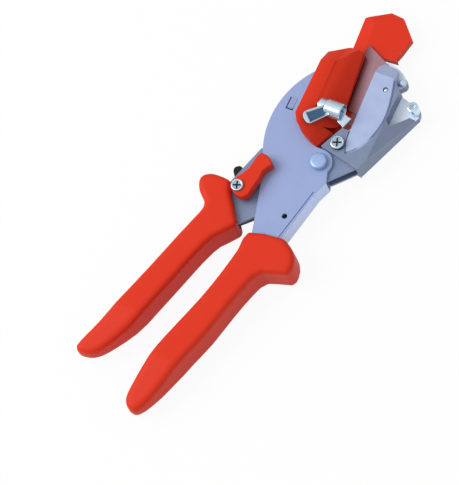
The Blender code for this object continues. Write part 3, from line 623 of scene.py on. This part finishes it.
@dataclass
class Grips:
    """The two moulded grips, with their edges melted together as a moulding has them."""

    voxel: float = 0.0007
    melting: float = 0.5
    melting_rounds: int = 5

    def build(self) -> None:
        """Make both grips."""
        for node, body in (("left_grip", Body.BLADE_ARM), ("right_grip", Body.ANVIL_ARM)):
            item = merged_copy(node, f"{node}_moulding")
            step = item.modifiers.new("Even mesh", "REMESH")
            step.mode = "VOXEL"
            step.voxel_size = self.voxel
            step.adaptivity = 0.0
            soft = item.modifiers.new("Melt", "SMOOTH")
            soft.factor = self.melting
            soft.iterations = self.melting_rounds
            apply_all(item)
            activate(item)
            bpy.ops.object.shade_smooth()
            dress(item, body, MOULDED, node)


@dataclass
class ArmPlates:
    """The folded plates of both arms, with their pressed edges and the lanced tab."""

    edge: float = 0.00022
    shortest: float = 0.0006
    groove: Spots = ((-0.0480, 0.0026), (-0.0158, -0.0044))
    groove_size: Spot = (0.00055, 0.0018)
    front: float = 0.0060
    tab_middle: Spot = (0.0252, 0.0274)
    tab_size: Place = (0.0060, 0.0032, 0.0005)
    tab_level: float = 0.0062
    tab_lift: float = math.radians(9.0)
    tab_edge: float = 0.00015
    tab_shortest: float = 0.0003

    def build(self) -> None:
        """Make the plates of both arms, the lanced tab and the anvil's bed."""
        for node, body, finish in (
                ("anvil_arm_frame", Body.ANVIL_ARM, PLATED),
                ("blade_arm_frame", Body.BLADE_ARM, ARM_STEEL),
                ("anvil_bed", Body.ANVIL_ARM, CAST)):
            item = merged_copy(node, f"{node}_pressing")
            soften(item, self.edge, self.shortest)
            if node == "anvil_arm_frame":
                self._cut_groove(item)
            settle(item)
            dress(item, body, finish, node)
        self._tab()

    def _cut_groove(self, plate: Item) -> None:
        """Cut the thin gap between the front plate and the fold that comes up beside it.

        Args:
            plate: the anvil arm's plate.
        """
        start, end = (Vector(place) for place in self.groove)
        along = end - start
        width, depth = self.groove_size
        tool = box("groove_tool", (along.length, width, depth))
        put(tool, stand_at(*((start + end) / 2)) @ Matrix.Translation((0, 0, self.front))
            @ Matrix.Rotation(math.atan2(along.y, along.x), 4, "Z"))
        carve(plate, tool)

    def _tab(self) -> None:
        """Make the tab that is lifted out of the front plate."""
        tab = box("lanced_tab", self.tab_size)
        turn = Matrix.Rotation(self.tab_lift, 4, "X")
        put(tab, stand_at(*self.tab_middle) @ Matrix.Translation((0, 0, self.tab_level)) @ turn)
        soften(tab, self.tab_edge, self.tab_shortest)
        settle(tab)
        dress(tab, Body.ANVIL_ARM, PLATED)


@dataclass
class Mouldings:
    """The mitre anvil and its swivelling front stop, with one soft ridge across both."""

    edge: float = 0.0009
    edge_segments: int = 3
    shortest: float = 0.0025
    gap: float = 0.0003
    flat_reach: float = 0.00005
    round_reach: float = 0.0002
    ridge: float = 0.0128
    front: float = 0.014
    slope: float = 0.952
    crest_reach: float = 0.0075
    crest_depth: float = 1.2
    seam: float = 0.00032
    heel: Spots = (
        (0.007782, 0.004978), (0.008618, 0.008018), (0.010518, 0.012692),
        (0.014584, 0.018088), (0.019182, 0.021))
    heel_reach: float = 0.0001
    heel_shift: float = 0.0005
    foot: Spots = ((0.02758, -0.00122), (0.03300, -0.00082))
    foot_shift: float = 0.0011
    slices: tuple[float, ...] = (0.0075, 0.0085, 0.0095, 0.0106, 0.0117, 0.0142, 0.0154,
                                 0.0166, 0.0178, 0.0190)
    bolt: Spot = (0.028, 0.0105)
    past_bolt: float = 0.001
    swivel_radius: float = 0.0098

    def build(self) -> None:
        """Make both mouldings."""
        for node, body, close, space in (
                ("mitre_anvil", Body.ANVIL_ARM, self._close_heel, self.gap),
                ("front_stop", Body.STOP, self._close_seam, self.seam)):
            item = merged_copy(node, f"{node}_moulding")
            close(item)
            soften(item, self.edge, self.shortest, self.edge_segments,
                   partial(self._beside, space))
            self._round_crest(item)
            settle(item)
            dress(item, body, MOULDED, node)

    def _from_bolt(self, place: Vector) -> float:
        """Return a place's distance from the wing bolt's axis."""
        return math.hypot(place.x - self.bolt[0], place.z - MIDDLE - self.bolt[1])

    def _beside(self, space: float, place: Vector) -> bool:
        """Tell whether a place lies on the seam between the anvil and the stop.

        Args:
            space: how far past the stop's own outline the seam is.
            place: the place.

        Returns:
            Whether it is on the seam's flat or round part.
        """
        flat = abs(place.y - self.ridge - space) < self.flat_reach
        around = abs(self._from_bolt(place) - self.swivel_radius - space) < self.round_reach
        return flat or around

    def _close_heel(self, anvil: Item) -> None:
        """Bring the anvil's heel and foot up to their neighbours, so that no light shows through.

        Args:
            anvil: the mitre anvil.
        """
        for vertex in anvil.data.vertices:
            for x, y in self.heel:
                if math.hypot(vertex.co.x - x, vertex.co.y - y) < self.heel_reach:
                    vertex.co.x -= self.heel_shift
                    break
            for x, y in self.foot:
                if math.hypot(vertex.co.x - x, vertex.co.y - y) < self.round_reach:
                    vertex.co.y -= self.foot_shift
                    break

    def _close_seam(self, stop: Item) -> None:
        """Widen the stop up to the anvil, so that their seam is a hairline.

        Args:
            stop: the front stop.
        """
        for vertex in stop.data.vertices:
            place = vertex.co
            reach = self._from_bolt(place)
            around = abs(reach - self.swivel_radius) < self.round_reach
            if around and place.x < self.bolt[0] + self.past_bolt:
                share = (reach + self.seam) / reach
                place.x = self.bolt[0] + (place.x - self.bolt[0]) * share
                centre = MIDDLE + self.bolt[1]
                place.z = centre + (place.z - centre) * share
            if abs(place.y - self.ridge) < self.flat_reach:
                place.y += self.seam

    def _drop(self, y: float) -> float:
        """Return how far the rounded ridge lies below the sharp one.

        Args:
            y: the distance across the ridge.

        Returns:
            The drop at that distance.
        """
        turn = math.atan(self.slope)
        radius = self.crest_reach / math.tan(turn / 2)
        middle = self.ridge + self.crest_reach
        if not self.ridge - self.crest_reach * math.cos(turn) < y < middle:
            return 0.0
        sharp = self.front - max(0.0, self.ridge - y) * self.slope
        return max(0.0, sharp - (self.front - radius) - math.sqrt(radius ** 2 - (y - middle) ** 2))

    def _round_crest(self, item: Item) -> None:
        """Cut a moulding into strips across its ridge and lower them to a soft crest.

        Args:
            item: the moulding.
        """
        open_mesh(item)
        for y in self.slices:
            bpy.ops.mesh.select_all(action="SELECT")
            bpy.ops.mesh.bisect(plane_co=(0, y, 0), plane_no=(0, 1, 0))
        shape = bmesh.from_edit_mesh(item.data)
        for vertex in shape.verts:
            y = vertex.co.y
            sharp = self.front - max(0.0, self.ridge - y) * self.slope
            if vertex.co.z - MIDDLE > sharp - self.edge * self.crest_depth:
                vertex.co.z -= self._drop(y)
        bmesh.update_edit_mesh(item.data)
        close_mesh()


@dataclass
class BladeUnit:
    """The holder casting, the clamp plate and the ground blade."""

    holder_edge: float = 0.0004
    clamp_edge: float = 0.0003
    blade_edge: float = 0.00004
    shortest: float = 0.0012
    chamfer: float = 0.0011
    clamp_level: float = 0.0040
    level_least: float = 0.95
    upright_most: float = 0.1
    outward_most: float = -0.25
    pin: Spot = (0.0493, -0.0152)
    pin_space: float = 0.0030

    def build(self) -> None:
        """Make the three pieces."""
        for node, finish, edge in (
                ("blade_holder", CAST, self.holder_edge),
                ("clamp_plate", CLAMP_STEEL, self.clamp_edge),
                ("blade", GROUND, self.blade_edge)):
            item = merged_copy(node, f"{node}_dressed")
            if node == "clamp_plate":
                self._chamfer_side(item)
            soften(item, edge, self.shortest)
            settle(item)
            dress(item, Body.BLADE_ARM, finish, node)

    def _chamfer_side(self, clamp: Item) -> None:
        """Chamfer the clamp plate along its curved outer side.

        Args:
            clamp: the clamp plate.
        """
        open_mesh(clamp)
        choose_edges(clamp, self._on_outer_side)
        bpy.ops.mesh.bevel(offset=self.chamfer, segments=1)
        close_mesh()

    def _on_outer_side(self, edge: Edge) -> bool:
        """Tell whether an edge runs along the clamp plate's outer side, clear of its pin.

        Args:
            edge: the edge.

        Returns:
            Whether it gets the chamfer.
        """
        normals = [face.normal for face in edge.link_faces]
        level = any(normal.z > self.level_least for normal in normals)
        side = any(abs(normal.z) < self.upright_most and normal.y < self.outward_most
                   for normal in normals)
        middle = (edge.verts[0].co + edge.verts[1].co) / 2
        high = middle.z > MIDDLE + self.clamp_level
        away = math.hypot(middle.x - self.pin[0], middle.y - self.pin[1]) > self.pin_space
        return level and side and high and away


@dataclass
class Fasteners:
    """The pivot bolt, the screws and their nuts, turned and then cut."""

    pivot: Profile = (
        (0.0033, -0.0100), (0.0035, -0.0098), (0.0035, 0.0063), (0.0044, 0.0063),
        (0.0045, 0.0064), (0.0045, 0.0083), (0.0043, 0.0088), (0.0039, 0.0091),
        (0.0030, 0.0093), (0.0010, 0.0093))
    pan: Profile = (
        (0.0019, -0.0089), (0.0020, -0.0088), (0.0020, 0.0063), (0.0036, 0.0063),
        (0.0037, 0.0064), (0.0037, 0.0078), (0.0036, 0.0083), (0.0034, 0.0086),
        (0.0031, 0.0087), (0.0028, 0.0087), (0.0026, 0.0085), (0.0024, 0.0081),
        (0.0010, 0.0080))
    catch: Profile = (
        (0.0019, -0.0071), (0.0020, -0.0070), (0.0020, 0.0128), (0.0032, 0.0128),
        (0.0033, 0.0129), (0.0033, 0.0134), (0.0031, 0.0137), (0.0029, 0.0138),
        (0.0026, 0.0138), (0.0024, 0.0137), (0.0022, 0.0134), (0.0010, 0.0133))
    stop: Profile = (
        (0.0014, -0.0087), (0.0015, -0.0086), (0.0015, -0.0012), (0.0028, -0.0012),
        (0.0029, -0.0011), (0.0029, 0.0047), (0.0028, 0.0051), (0.0025, 0.0053),
        (0.0022, 0.0054), (0.0020, 0.0054), (0.0018, 0.0052))
    corner: Profile = (
        (0.0009, -0.0086), (0.0010, -0.0085), (0.0010, -0.0004), (0.0019, -0.0004),
        (0.0020, -0.0003), (0.0020, 0.0003), (0.0018, 0.0007), (0.0014, 0.0009),
        (0.0008, 0.0010))
    clamp: Profile = (
        (0.0019, -0.0089), (0.0020, -0.0088), (0.0020, 0.0026), (0.00115, 0.0026),
        (0.00115, 0.0045), (0.0010, 0.0048), (0.0006, 0.0050), (0.0002, 0.00505))
    places: dict[str, Spot] = field(default_factory=lambda: {
        "pivot_bolt": (0.0, 0.0), "pan_screw": (0.0129, -0.0048),
        "clamp_screw": (0.0493, -0.0152), "corner_screw": (0.0574, -0.0201),
        "stop_screw": (0.0456, -0.0326), "catch_screw": (-0.0288, 0.0325)})
    crosses: tuple[tuple[str, Body, float, float], ...] = (
        ("pan_screw", Body.BLADE_ARM, 0.0080, 0.0023),
        ("catch_screw", Body.CATCH, 0.0133, 0.0021))
    cross_turns: Spot = (math.radians(20.0), math.radians(110.0))
    cross_width: float = 0.0009
    cross_depth: float = 0.0012
    # Painted shade on the cross-head screws: dark in the cross recess and down the head's side,
    # brightening over this reach above the dish.
    recess_shade_start: float = 0.0005
    recess_shade_reach: float = 0.0009
    recess_shade_colour: Place = (0.04, 0.06, 0.10)
    socket_top: float = 0.0054
    socket_radius: float = 0.0018
    socket_depth: float = 0.0025
    nuts: tuple[tuple[str, Body, str, float], ...] = (
        ("pivot_nut", Body.ANVIL_ARM, "pivot_bolt", 0.0035),
        ("pan_nut", Body.BLADE_ARM, "pan_screw", 0.0020),
        ("clamp_nut", Body.BLADE_ARM, "clamp_screw", 0.0020),
        ("stop_nut", Body.BLADE_ARM, "stop_screw", 0.0015),
        ("corner_nut", Body.BLADE_ARM, "corner_screw", 0.0010))
    chamfer: float = 0.0004
    corner_share: float = 0.86
    bore_sides: int = 24
    square_edge: float = 0.0003
    square_shortest: float = 0.0008
    turned_angle: float = 40.0
    nut_angle: float = 25.0

    def build(self) -> None:
        """Make all the fasteners but the wing bolt."""
        self._turned("pivot_bolt", self.pivot, Body.ANVIL_ARM, PIVOT_ZINC)
        for node, body, floor, reach in self.crosses:
            screw = self._raw(node, self.pan if node == "pan_screw" else self.catch)
            self._cross(screw, self.places[node], floor, reach)
            # Painted shade in the cross recess and down the head's side.
            shade_fade = ShadeFade((0.0, 0.0, MIDDLE + floor - self.recess_shade_start), (0.0, 0.0, 1.0),
                        self.recess_shade_reach, self.recess_shade_colour)
            self._done(screw, body, replace(ZINC, name=f"{node}_zinc", shade_fade=shade_fade), node)
        stop = self._raw("stop_screw", self.stop)
        self._socket(stop, self.places["stop_screw"])
        self._done(stop, Body.BLADE_ARM, ZINC, "stop_screw")
        self._turned("corner_screw", self.corner, Body.BLADE_ARM, ZINC)
        self._turned("clamp_screw", self.clamp, Body.BLADE_ARM, ZINC)
        for node, body, screw_node, bore in self.nuts:
            self._nut(node, body, self.places[screw_node], bore)
        square = merged_copy("wing_bolt_nut", "wing_bolt_nut_dressed")
        soften(square, self.square_edge, self.square_shortest)
        self._done(square, Body.ANVIL_ARM, ZINC, "wing_bolt_nut")

    def _raw(self, node: str, profile: Profile) -> Item:
        """Turn a fastener and stand it at its place."""
        return put(lathe(f"{node}_turned", profile), stand_at(*self.places[node]))

    def _done(self, item: Item, body: Body, finish: Finish, node: str) -> None:
        """Smooth and dress a finished fastener."""
        settle(item, self.turned_angle)
        dress(item, body, finish, node)

    def _turned(self, node: str, profile: Profile, body: Body, finish: Finish) -> None:
        """Make a fastener that has no recess."""
        self._done(self._raw(node, profile), body, finish, node)

    def _cross(self, screw: Item, place: Spot, floor: float, reach: float) -> None:
        """Cut a cross recess into a screw's dished head.

        Args:
            screw: the screw.
            place: its axis.
            floor: the level of the dish.
            reach: the length of each arm of the cross.
        """
        for turn in self.cross_turns:
            tool = box("cross_tool", (reach * 2, self.cross_width, self.cross_depth * 2))
            put(tool, stand_at(*place) @ Matrix.Translation((0, 0, floor))
                @ Matrix.Rotation(turn, 4, "Z"))
            carve(screw, tool)

    def _socket(self, screw: Item, place: Spot) -> None:
        """Cut a hexagon socket into a screw's head.

        Args:
            screw: the screw.
            place: its axis.
        """
        radius, top = self.socket_radius, self.socket_top
        floor = top - self.socket_depth
        tool = lathe("socket_tool", ((radius, floor), (radius, top * 2)), HEXAGON)
        put(tool, stand_at(*place))
        carve(screw, tool)

    def _nut(self, node: str, body: Body, place: Spot, bore: float) -> None:
        """Make a hexagon nut with chamfered corners.

        Args:
            node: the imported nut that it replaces.
            body: the body that it rides on.
            place: its axis.
            bore: its bolt's radius.
        """
        low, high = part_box(node)
        bottom = low[2] - MIDDLE
        top = high[2] - MIDDLE
        radius = (high[0] - low[0]) / 2
        nut = lathe(f"{node}_cut", ((radius, bottom), (radius, top)), HEXAGON)
        rim = radius * self.corner_share
        ring = lathe("chamfer_tool", (
            (rim, bottom), (radius, bottom + self.chamfer),
            (radius, top - self.chamfer), (rim, top)))
        carve(nut, ring, "INTERSECT")
        hole = bore + self.chamfer / 2
        carve(nut, lathe("bore_tool", ((hole, bottom - MIDDLE), (hole, top + MIDDLE)),
                         self.bore_sides))
        put(nut, stand_at(*place))
        settle(nut, self.nut_angle)
        dress(nut, body, ZINC, node)


@dataclass
class WingBolt:
    """The wing bolt: a hollow barrel on a shank, a scooped wing and a short fin."""

    axis: Spot = (0.028, 0.0105)
    seat: float = 0.0080
    barrel: Profile = (
        (0.0019, -0.0127), (0.0020, -0.0126), (0.0020, -0.0036), (0.0038, -0.0036),
        (0.0040, -0.0034), (0.0040, -0.0002), (0.0042, 0.0000),
        (0.0047, 0.0004), (0.0048, 0.0010), (0.0048, 0.0088), (0.0047, 0.0092),
        (0.0045, 0.0095), (0.0041, 0.0095), (0.0039, 0.0093), (0.0038, 0.0088),
        (0.0036, 0.0050), (0.0030, 0.0042), (0.0010, 0.0040))
    wing_root: Place = (0.0262, 0.0060, 0.0130)
    wing_tip: Place = (0.0158, 0.0140, 0.0170)
    wing_across: Place = (-0.67, -0.66, -0.30)
    wing_size: Spot = (0.0070, 0.0023)
    fin_root: Place = (0.0272, 0.0020, 0.0088)
    fin_tip: Place = (0.0243, -0.0052, 0.0078)
    fin_across: Place = (-0.90, 0.20, -0.20)
    fin_size: Spot = (0.0056, 0.0020)
    lip: float = 0.0018
    scoop: float = 0.0011
    # Painted shade down in the wing's scoop.
    scoop_shade_colour: Place = (0.07, 0.15, 0.26)
    tip_round: float = 0.0026
    tip_segments: int = 5
    root_share: float = 0.82
    rim: float = 0.0002
    rim_slope: float = 0.0012
    wing_edge: float = 0.0006
    wing_segments: int = 4
    fin_slices: Spot = (0.0, 0.25)
    fin_tip_shares: Place = (1.0, 1.18, 0.7)
    fin_root_shares: Place = (1.0, 0.8, 1.2)
    fin_edge: float = 0.0003
    shortest: float = 0.0006
    sides: int = 56
    smooth_angle: float = 38.0

    def build(self) -> None:
        """Make the barrel with its fin, and the wing."""
        barrel = lathe("wing_bolt_turned", self.barrel, self.sides)
        put(barrel, Matrix.Translation((self.axis[0], self.seat, MIDDLE + self.axis[1]))
            @ Matrix.Rotation(math.radians(90.0), 4, "X"))
        carve(barrel, self._fin(), "UNION")
        settle(barrel, self.smooth_angle)
        dress(barrel, Body.WING, ZINC, "wing_bolt")
        wing = self._wing()
        settle(wing, self.smooth_angle)
        dress(wing, Body.WING, self._wing_shaded_finish())

    def _wing_shaded_finish(self) -> Finish:
        """Return the zinc of the wing, with painted shade down in its scoop.

        Returns:
            The finish.
        """
        stance = self._stance(self.wing_root, self.wing_tip, self.wing_across)
        face = stance.to_3x3() @ Vector((0.0, 0.0, 1.0))
        floor = stance @ Vector((0.0, 0.0, self.wing_size[1] / 2 - self.scoop))
        shade_fade = ShadeFade(tuple(floor), tuple(face), self.scoop, self.scoop_shade_colour)
        return replace(ZINC, name="wing_zinc_painted_shade", shade_fade=shade_fade)

    @staticmethod
    def _stance(root: Place, tip: Place, across: Place) -> Matrix:
        """Return the matrix of a wing whose X runs outwards and whose Z faces up.

        Args:
            root: where the wing starts.
            tip: where it ends.
            across: the direction of its width.

        Returns:
            The matrix.
        """
        ahead = (Vector(tip) - Vector(root)).normalized()
        side = Vector(across) - ahead * ahead.dot(Vector(across))
        side.normalize()
        face = ahead.cross(side)
        if face.z < 0:
            side, face = -side, -face
        centre = (Vector(root) + Vector(tip)) / 2 + Vector((0, 0, MIDDLE))
        return Matrix.Translation(centre) @ Matrix((ahead, side, face)).transposed().to_4x4()

    def _wing(self) -> Item:
        """Return the long wing, scooped behind a thick lip.

        Returns:
            The wing in place.
        """
        length = (Vector(self.wing_tip) - Vector(self.wing_root)).length
        width, thickness = self.wing_size
        wing = box("wing", (length, width, thickness))
        open_mesh(wing)
        choose_edges(wing, lambda edge: self._at_tip(edge, length))
        bpy.ops.mesh.bevel(offset=self.tip_round, segments=self.tip_segments)
        bpy.ops.mesh.select_all(action="SELECT")
        bpy.ops.mesh.bisect(plane_co=(length / 2 - self.lip, 0, 0), plane_no=(1, 0, 0))
        choose(wing, lambda place, normal: normal.x < -FACING)
        bpy.ops.transform.resize(value=(1, self.root_share, 1), center_override=(0, 0, 0))
        choose(wing, lambda place, normal: normal.z > FACING and place.x < length / 2 - self.lip)
        bpy.ops.mesh.inset(thickness=self.rim, depth=0.0)
        bpy.ops.mesh.inset(thickness=self.rim_slope, depth=-self.scoop)
        close_mesh()
        soften(wing, self.wing_edge, self.shortest, self.wing_segments)
        return put(wing, self._stance(self.wing_root, self.wing_tip, self.wing_across))

    def _at_tip(self, edge: Edge, length: float) -> bool:
        """Tell whether an edge is an upright one at the wing's outer end.

        Args:
            edge: the edge.
            length: the wing's length.

        Returns:
            Whether it is one of the two.
        """
        first, second = (end.co for end in edge.verts)
        upright = abs(first.z - second.z) > self.wing_size[1] * FACING
        return upright and min(first.x, second.x) > length * FACING / 2

    def _fin(self) -> Item:
        """Return the short fin, which widens to its end like a tail.

        Returns:
            The fin in place.
        """
        length = (Vector(self.fin_tip) - Vector(self.fin_root)).length
        width, thickness = self.fin_size
        fin = box("fin", (length, width, thickness))
        open_mesh(fin)
        for share in self.fin_slices:
            bpy.ops.mesh.select_all(action="SELECT")
            bpy.ops.mesh.bisect(plane_co=(length * share, 0, 0), plane_no=(1, 0, 0))
        choose(fin, lambda place, normal: normal.x > FACING)
        bpy.ops.transform.resize(value=self.fin_tip_shares, center_override=(length / 2, 0, 0))
        choose(fin, lambda place, normal: normal.x < -FACING)
        bpy.ops.transform.resize(value=self.fin_root_shares, center_override=(-length / 2, 0, 0))
        close_mesh()
        soften(fin, self.fin_edge, self.shortest)
        return put(fin, self._stance(self.fin_root, self.fin_tip, self.fin_across))


@dataclass
class Catch:
    """The catch's orange lever and its black rear arm."""

    lever_edge: float = 0.0005
    arm_edge: float = 0.0003
    shortest: float = 0.0008

    def build(self) -> None:
        """Make both levers."""
        for node, finish, edge in (("catch_lever", MOULDED, self.lever_edge),
                                   ("catch_rear_arm", BLACK, self.arm_edge)):
            item = merged_copy(node, f"{node}_dressed")
            soften(item, edge, self.shortest)
            settle(item)
            dress(item, Body.CATCH, finish, node)


@dataclass
class ReturnSpring:
    """The black leaf that lies along the blade arm."""

    edge: float = 0.0001
    shortest: float = 0.0005

    def build(self) -> None:
        """Make the leaf."""
        item = merged_copy("return_spring", "return_spring_leaf")
        soften(item, self.edge, self.shortest)
        settle(item)
        dress(item, Body.BLADE_ARM, BLACK, "return_spring")


@dataclass
class Studio:
    """The floor, the light and the camera."""

    right: Vector = field(default_factory=lambda: Vector((0.424, -0.881, -0.21)))
    back: Vector = field(default_factory=lambda: Vector((-0.2525, -0.339, 0.906)))
    target: Vector = field(default_factory=lambda: Vector((-0.05792, 0.02386, 0.019)))
    distance: float = 5.0
    sensor: float = 36.0
    image_height: int = 485
    metres_per_pixel: float = 0.000515
    far: float = 20.0
    key_place: Place = (-1.35, 0.4, 0.85)
    key_power: float = 16.5
    key_size: float = 1.1
    horizon: float = 0.30
    zenith: float = 0.86
    floor_glow: float = 0.93
    floor_size: float = 6.0
    floor_level: float = -0.0004
    floor_colour: Place = (0.85, 0.85, 0.86)
    floor_roughness: float = 0.9

    def build(self) -> None:
        """Make the camera, the lamp, the world and the floor."""
        right = self.right.normalized()
        back = (self.back - right * self.back.dot(right)).normalized()
        up = back.cross(right)
        self._camera(right, up, back)
        aside, above, ahead = self.key_place
        self._lamp(right * aside + up * above + back * ahead)
        self._world()
        self._floor()
        bpy.context.scene.view_settings.view_transform = "Standard"

    def _camera(self, right: Vector, up: Vector, back: Vector) -> None:
        """Place the camera at the photograph's viewing angle.

        Args:
            right: the direction of the picture's right side.
            up: the direction of its top.
            back: the direction from the tool to the camera.
        """
        data = bpy.data.cameras.new("camera")
        item = bpy.data.objects.new("camera", data)
        bpy.context.scene.collection.objects.link(item)
        turn = Matrix((right, up, back)).transposed().to_4x4()
        item.matrix_world = Matrix.Translation(self.target + back * self.distance) @ turn
        data.sensor_width = self.sensor
        data.lens = self.sensor * self.distance / (self.image_height * self.metres_per_pixel)
        data.clip_end = self.far
        bpy.context.scene.camera = item

    def _lamp(self, place: Vector) -> None:
        """Hang the square key lamp, which looks at the tool.

        Args:
            place: its place from the middle of the picture.
        """
        data = bpy.data.lights.new("key", "AREA")
        data.size = self.key_size
        data.energy = self.key_power
        item = bpy.data.objects.new("key", data)
        item.location = self.target + place
        item.rotation_mode = "QUATERNION"
        item.rotation_quaternion = (-place).to_track_quat("-Z", "Y")
        bpy.context.scene.collection.objects.link(item)

    def _world(self) -> None:
        """Light the scene softly from above and show white behind it."""
        world = bpy.data.worlds.new("studio")
        bpy.context.scene.world = world
        world.use_nodes = True
        tree = world.node_tree
        ground = tree.nodes["Background"]
        ground.inputs["Color"].default_value = (1.0, 1.0, 1.0, 1.0)
        place = add_node(tree, "TexCoord")
        height = add_node(tree, "SeparateXYZ")
        tree.links.new(place.outputs["Generated"], height.inputs["Vector"])
        sky = add_node(tree, "MapRange")
        sky.inputs["To Min"].default_value = self.horizon
        sky.inputs["To Max"].default_value = self.zenith
        tree.links.new(height.outputs["Z"], sky.inputs["Value"])
        path = add_node(tree, "LightPath")
        power = add_node(tree, "Math", "MAXIMUM")
        tree.links.new(sky.outputs["Result"], power.inputs[0])
        tree.links.new(path.outputs["Is Camera Ray"], power.inputs[1])
        tree.links.new(power.outputs["Value"], ground.inputs["Strength"])

    def _floor(self) -> None:
        """Lay the pale floor, which keeps the tool's shadow."""
        deselect()
        bpy.ops.mesh.primitive_plane_add(size=self.floor_size, location=(0, 0, self.floor_level))
        floor = bpy.context.object
        floor.name = "floor"
        made = bpy.data.materials.new("floor_white")
        made.use_nodes = True
        tree = made.node_tree
        shader = tree.nodes["Principled BSDF"]
        shader.inputs["Base Color"].default_value = (*self.floor_colour, 1.0)
        shader.inputs["Roughness"].default_value = self.floor_roughness
        glow = add_node(tree, "Emission")
        glow.inputs["Strength"].default_value = 1.0
        path = add_node(tree, "LightPath")
        seen = add_node(tree, "Math", "MAXIMUM")
        tree.links.new(path.outputs["Is Camera Ray"], seen.inputs[0])
        tree.links.new(path.outputs["Is Glossy Ray"], seen.inputs[1])
        share = add_node(tree, "Math", "MULTIPLY")
        share.inputs[1].default_value = self.floor_glow
        tree.links.new(seen.outputs["Value"], share.inputs[0])
        blend = add_node(tree, "MixShader")
        tree.links.new(share.outputs["Value"], blend.inputs["Fac"])
        tree.links.new(shader.outputs["BSDF"], blend.inputs[1])
        tree.links.new(glow.outputs["Emission"], blend.inputs[2])
        tree.links.new(blend.outputs["Shader"], tree.nodes["Material Output"].inputs["Surface"])
        floor.data.materials.append(made)


def main() -> None:
    """Build every sub-assembly in order."""
    logging.basicConfig(level=logging.INFO, format="%(message)s")
    Grips().build()
    ArmPlates().build()
    Mouldings().build()
    BladeUnit().build()
    Fasteners().build()
    WingBolt().build()
    Catch().build()
    ReturnSpring().build()
    Studio().build()
    deselect()


if __name__ == "__main__":
    main()
